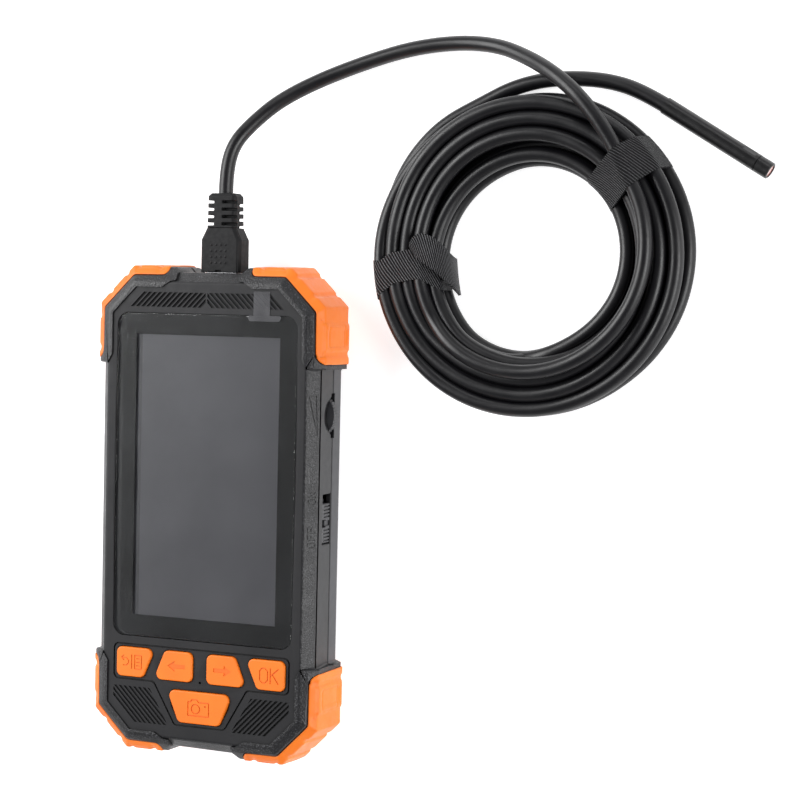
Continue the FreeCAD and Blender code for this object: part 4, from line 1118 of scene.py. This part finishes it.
cell_blue = surface("battery_sleeve", rgb(28, 58, 140), rgb(36, 70, 160), patch=120.0,
                    rough=(0.2, 0.35), rough_scale=200.0, grain=400.0,
                    grain_depth=0.05 * mm)
screw_steel = surface("screw_steel", rgb(92, 92, 94), rgb(122, 122, 124), patch=700.0,
                      rough=(0.25, 0.4), rough_scale=900.0, grain=3000.0,
                      grain_depth=0.01 * mm, metallic=1.0)
port_rubber = surface("port_rubber", rgb(34, 34, 35), rgb(44, 44, 45), patch=160.0,
                      rough=(0.6, 0.75), rough_scale=600.0, grain=2600.0,
                      grain_depth=0.04 * mm)
led_resin = surface("led_resin", rgb(236, 226, 170), rgb(250, 246, 220), patch=900.0,
                    rough=(0.1, 0.2))
film_clear = film()

looks = {
    "screen_mask": ink_black, "screen_gasket": foam_black,
    "lcd_polarizer": display_grey, "lcd_cell": display_edge, "lcd_backlight": grey_rubber,
    "lcd_carrier": bright_steel, "film_tab": film_clear, "main_board": board_green,
    "board_chips": chip_black, "key_contacts": gold, "keypad_membrane": grey_rubber,
    "microphone": bright_steel, "battery": cell_blue, "board_screws": screw_steel,
    "cover_screws": screw_steel, "brightness_wheel": wheel_painted_reflection,
    "wheel_potentiometer": chip_black, "power_slider": wheel_painted_reflection,
    "switch_body": bright_steel, "port_cover": port_rubber, "charge_port": bright_steel,
    "card_slot": bright_steel, "probe_socket": bright_steel, "plug_shell": bright_steel,
    "plug_tongue": chip_black, "head_sleeve": head_black, "head_barrel": head_black,
    "head_window": lens_glass, "led_ring": board_green, "head_leds": led_resin,
    "camera_module": chip_black, "head_board": board_green,
}
for key in ("menu", "left", "right", "ok", "camera"):
    looks["button_" + key] = key_orange
for node, look in looks.items():
    dress(nodes[node], look)

# ---------------------------------------------------------------- what goes on the cable
head_nodes = ["head_sleeve", "head_barrel", "head_window", "led_ring", "head_leds",
              "camera_module", "head_board"]
on_cable = [plug, relief, nodes["plug_shell"], nodes["plug_tongue"], strap_left, strap_right]
on_cable += [nodes[name] for name in head_nodes]


# ---------------------------------------------------------------- floor and light
def make_floor():
    """Large white table that glows a little, as a light table does, so shadows stay faint."""
    half = 6.0
    drop = 0.1 * mm
    mesh = bpy.data.meshes.new("floor")
    mesh.from_pydata([(-half, -half, 0), (half, -half, 0), (half, half, 0), (-half, half, 0)],
                     [], [(0, 1, 2, 3)])
    made = bpy.data.objects.new("floor", mesh)
    made.location.z = -drop
    bpy.context.scene.collection.objects.link(made)
    look, tree, shader = material("floor_paper")
    coords = add(tree, "TexCoord").outputs["Object"]
    tone = ramp(tree, noise(tree, coords, 8.0), [(0.3, rgb(214, 214, 215)),
                                                 (0.7, rgb(220, 220, 221))])
    join(tree, tone, shader.inputs["Base Color"])
    shader.inputs["Roughness"].default_value = 0.9
    shader.inputs["Specular IOR Level"].default_value = 0.1
    shader.inputs["Emission Color"].default_value = (1.0, 1.0, 1.0, 1.0)
    shader.inputs["Emission Strength"].default_value = 0.72
    dress(made, look)


def softbox(name, place, target, width, height, power):
    """Rectangular studio light facing a target."""
    data = bpy.data.lights.new(name, "AREA")
    data.shape = "RECTANGLE"
    data.size = width
    data.size_y = height
    data.energy = power
    made = bpy.data.objects.new(name, data)
    made.location = place
    made.rotation_mode = "QUATERNION"
    made.rotation_quaternion = (Vector(target) - Vector(place)).to_track_quat("-Z", "Y")
    bpy.context.scene.collection.objects.link(made)


def make_world():
    """Surroundings that are bright low down and dim overhead."""
    world = bpy.data.worlds.new("studio")
    world.use_nodes = True
    bpy.context.scene.world = world
    tree = world.node_tree
    split = add(tree, "SeparateXYZ")
    join(tree, add(tree, "TexCoord").outputs["Generated"], split.inputs[0])
    tone = ramp(tree, split.outputs["Z"], [(0.0, (0.9, 0.9, 0.9, 1.0)),
                                           (0.3, (0.5, 0.5, 0.51, 1.0)),
                                           (0.7, (0.28, 0.28, 0.29, 1.0)),
                                           (0.9, (0.16, 0.16, 0.17, 1.0))])
    join(tree, tone, tree.nodes["Background"].inputs["Color"])
    tree.nodes["Background"].inputs["Strength"].default_value = 0.9


make_floor()
make_world()
middle = (cad_box[0] + cad_box[1]) / 2.0
softbox("key_light", middle + Vector((-1.2, 0.4, 1.1)), middle,
        width=1.3, height=1.0, power=30.0)
softbox("fill_light", middle + Vector((1.4, -0.2, 0.8)), middle,
        width=1.0, height=0.8, power=17.0)
softbox("back_light", middle + Vector((0.1, 1.6, 1.0)), middle,
        width=1.2, height=0.5, power=4.0)
bpy.context.scene.view_settings.view_transform = "Standard"
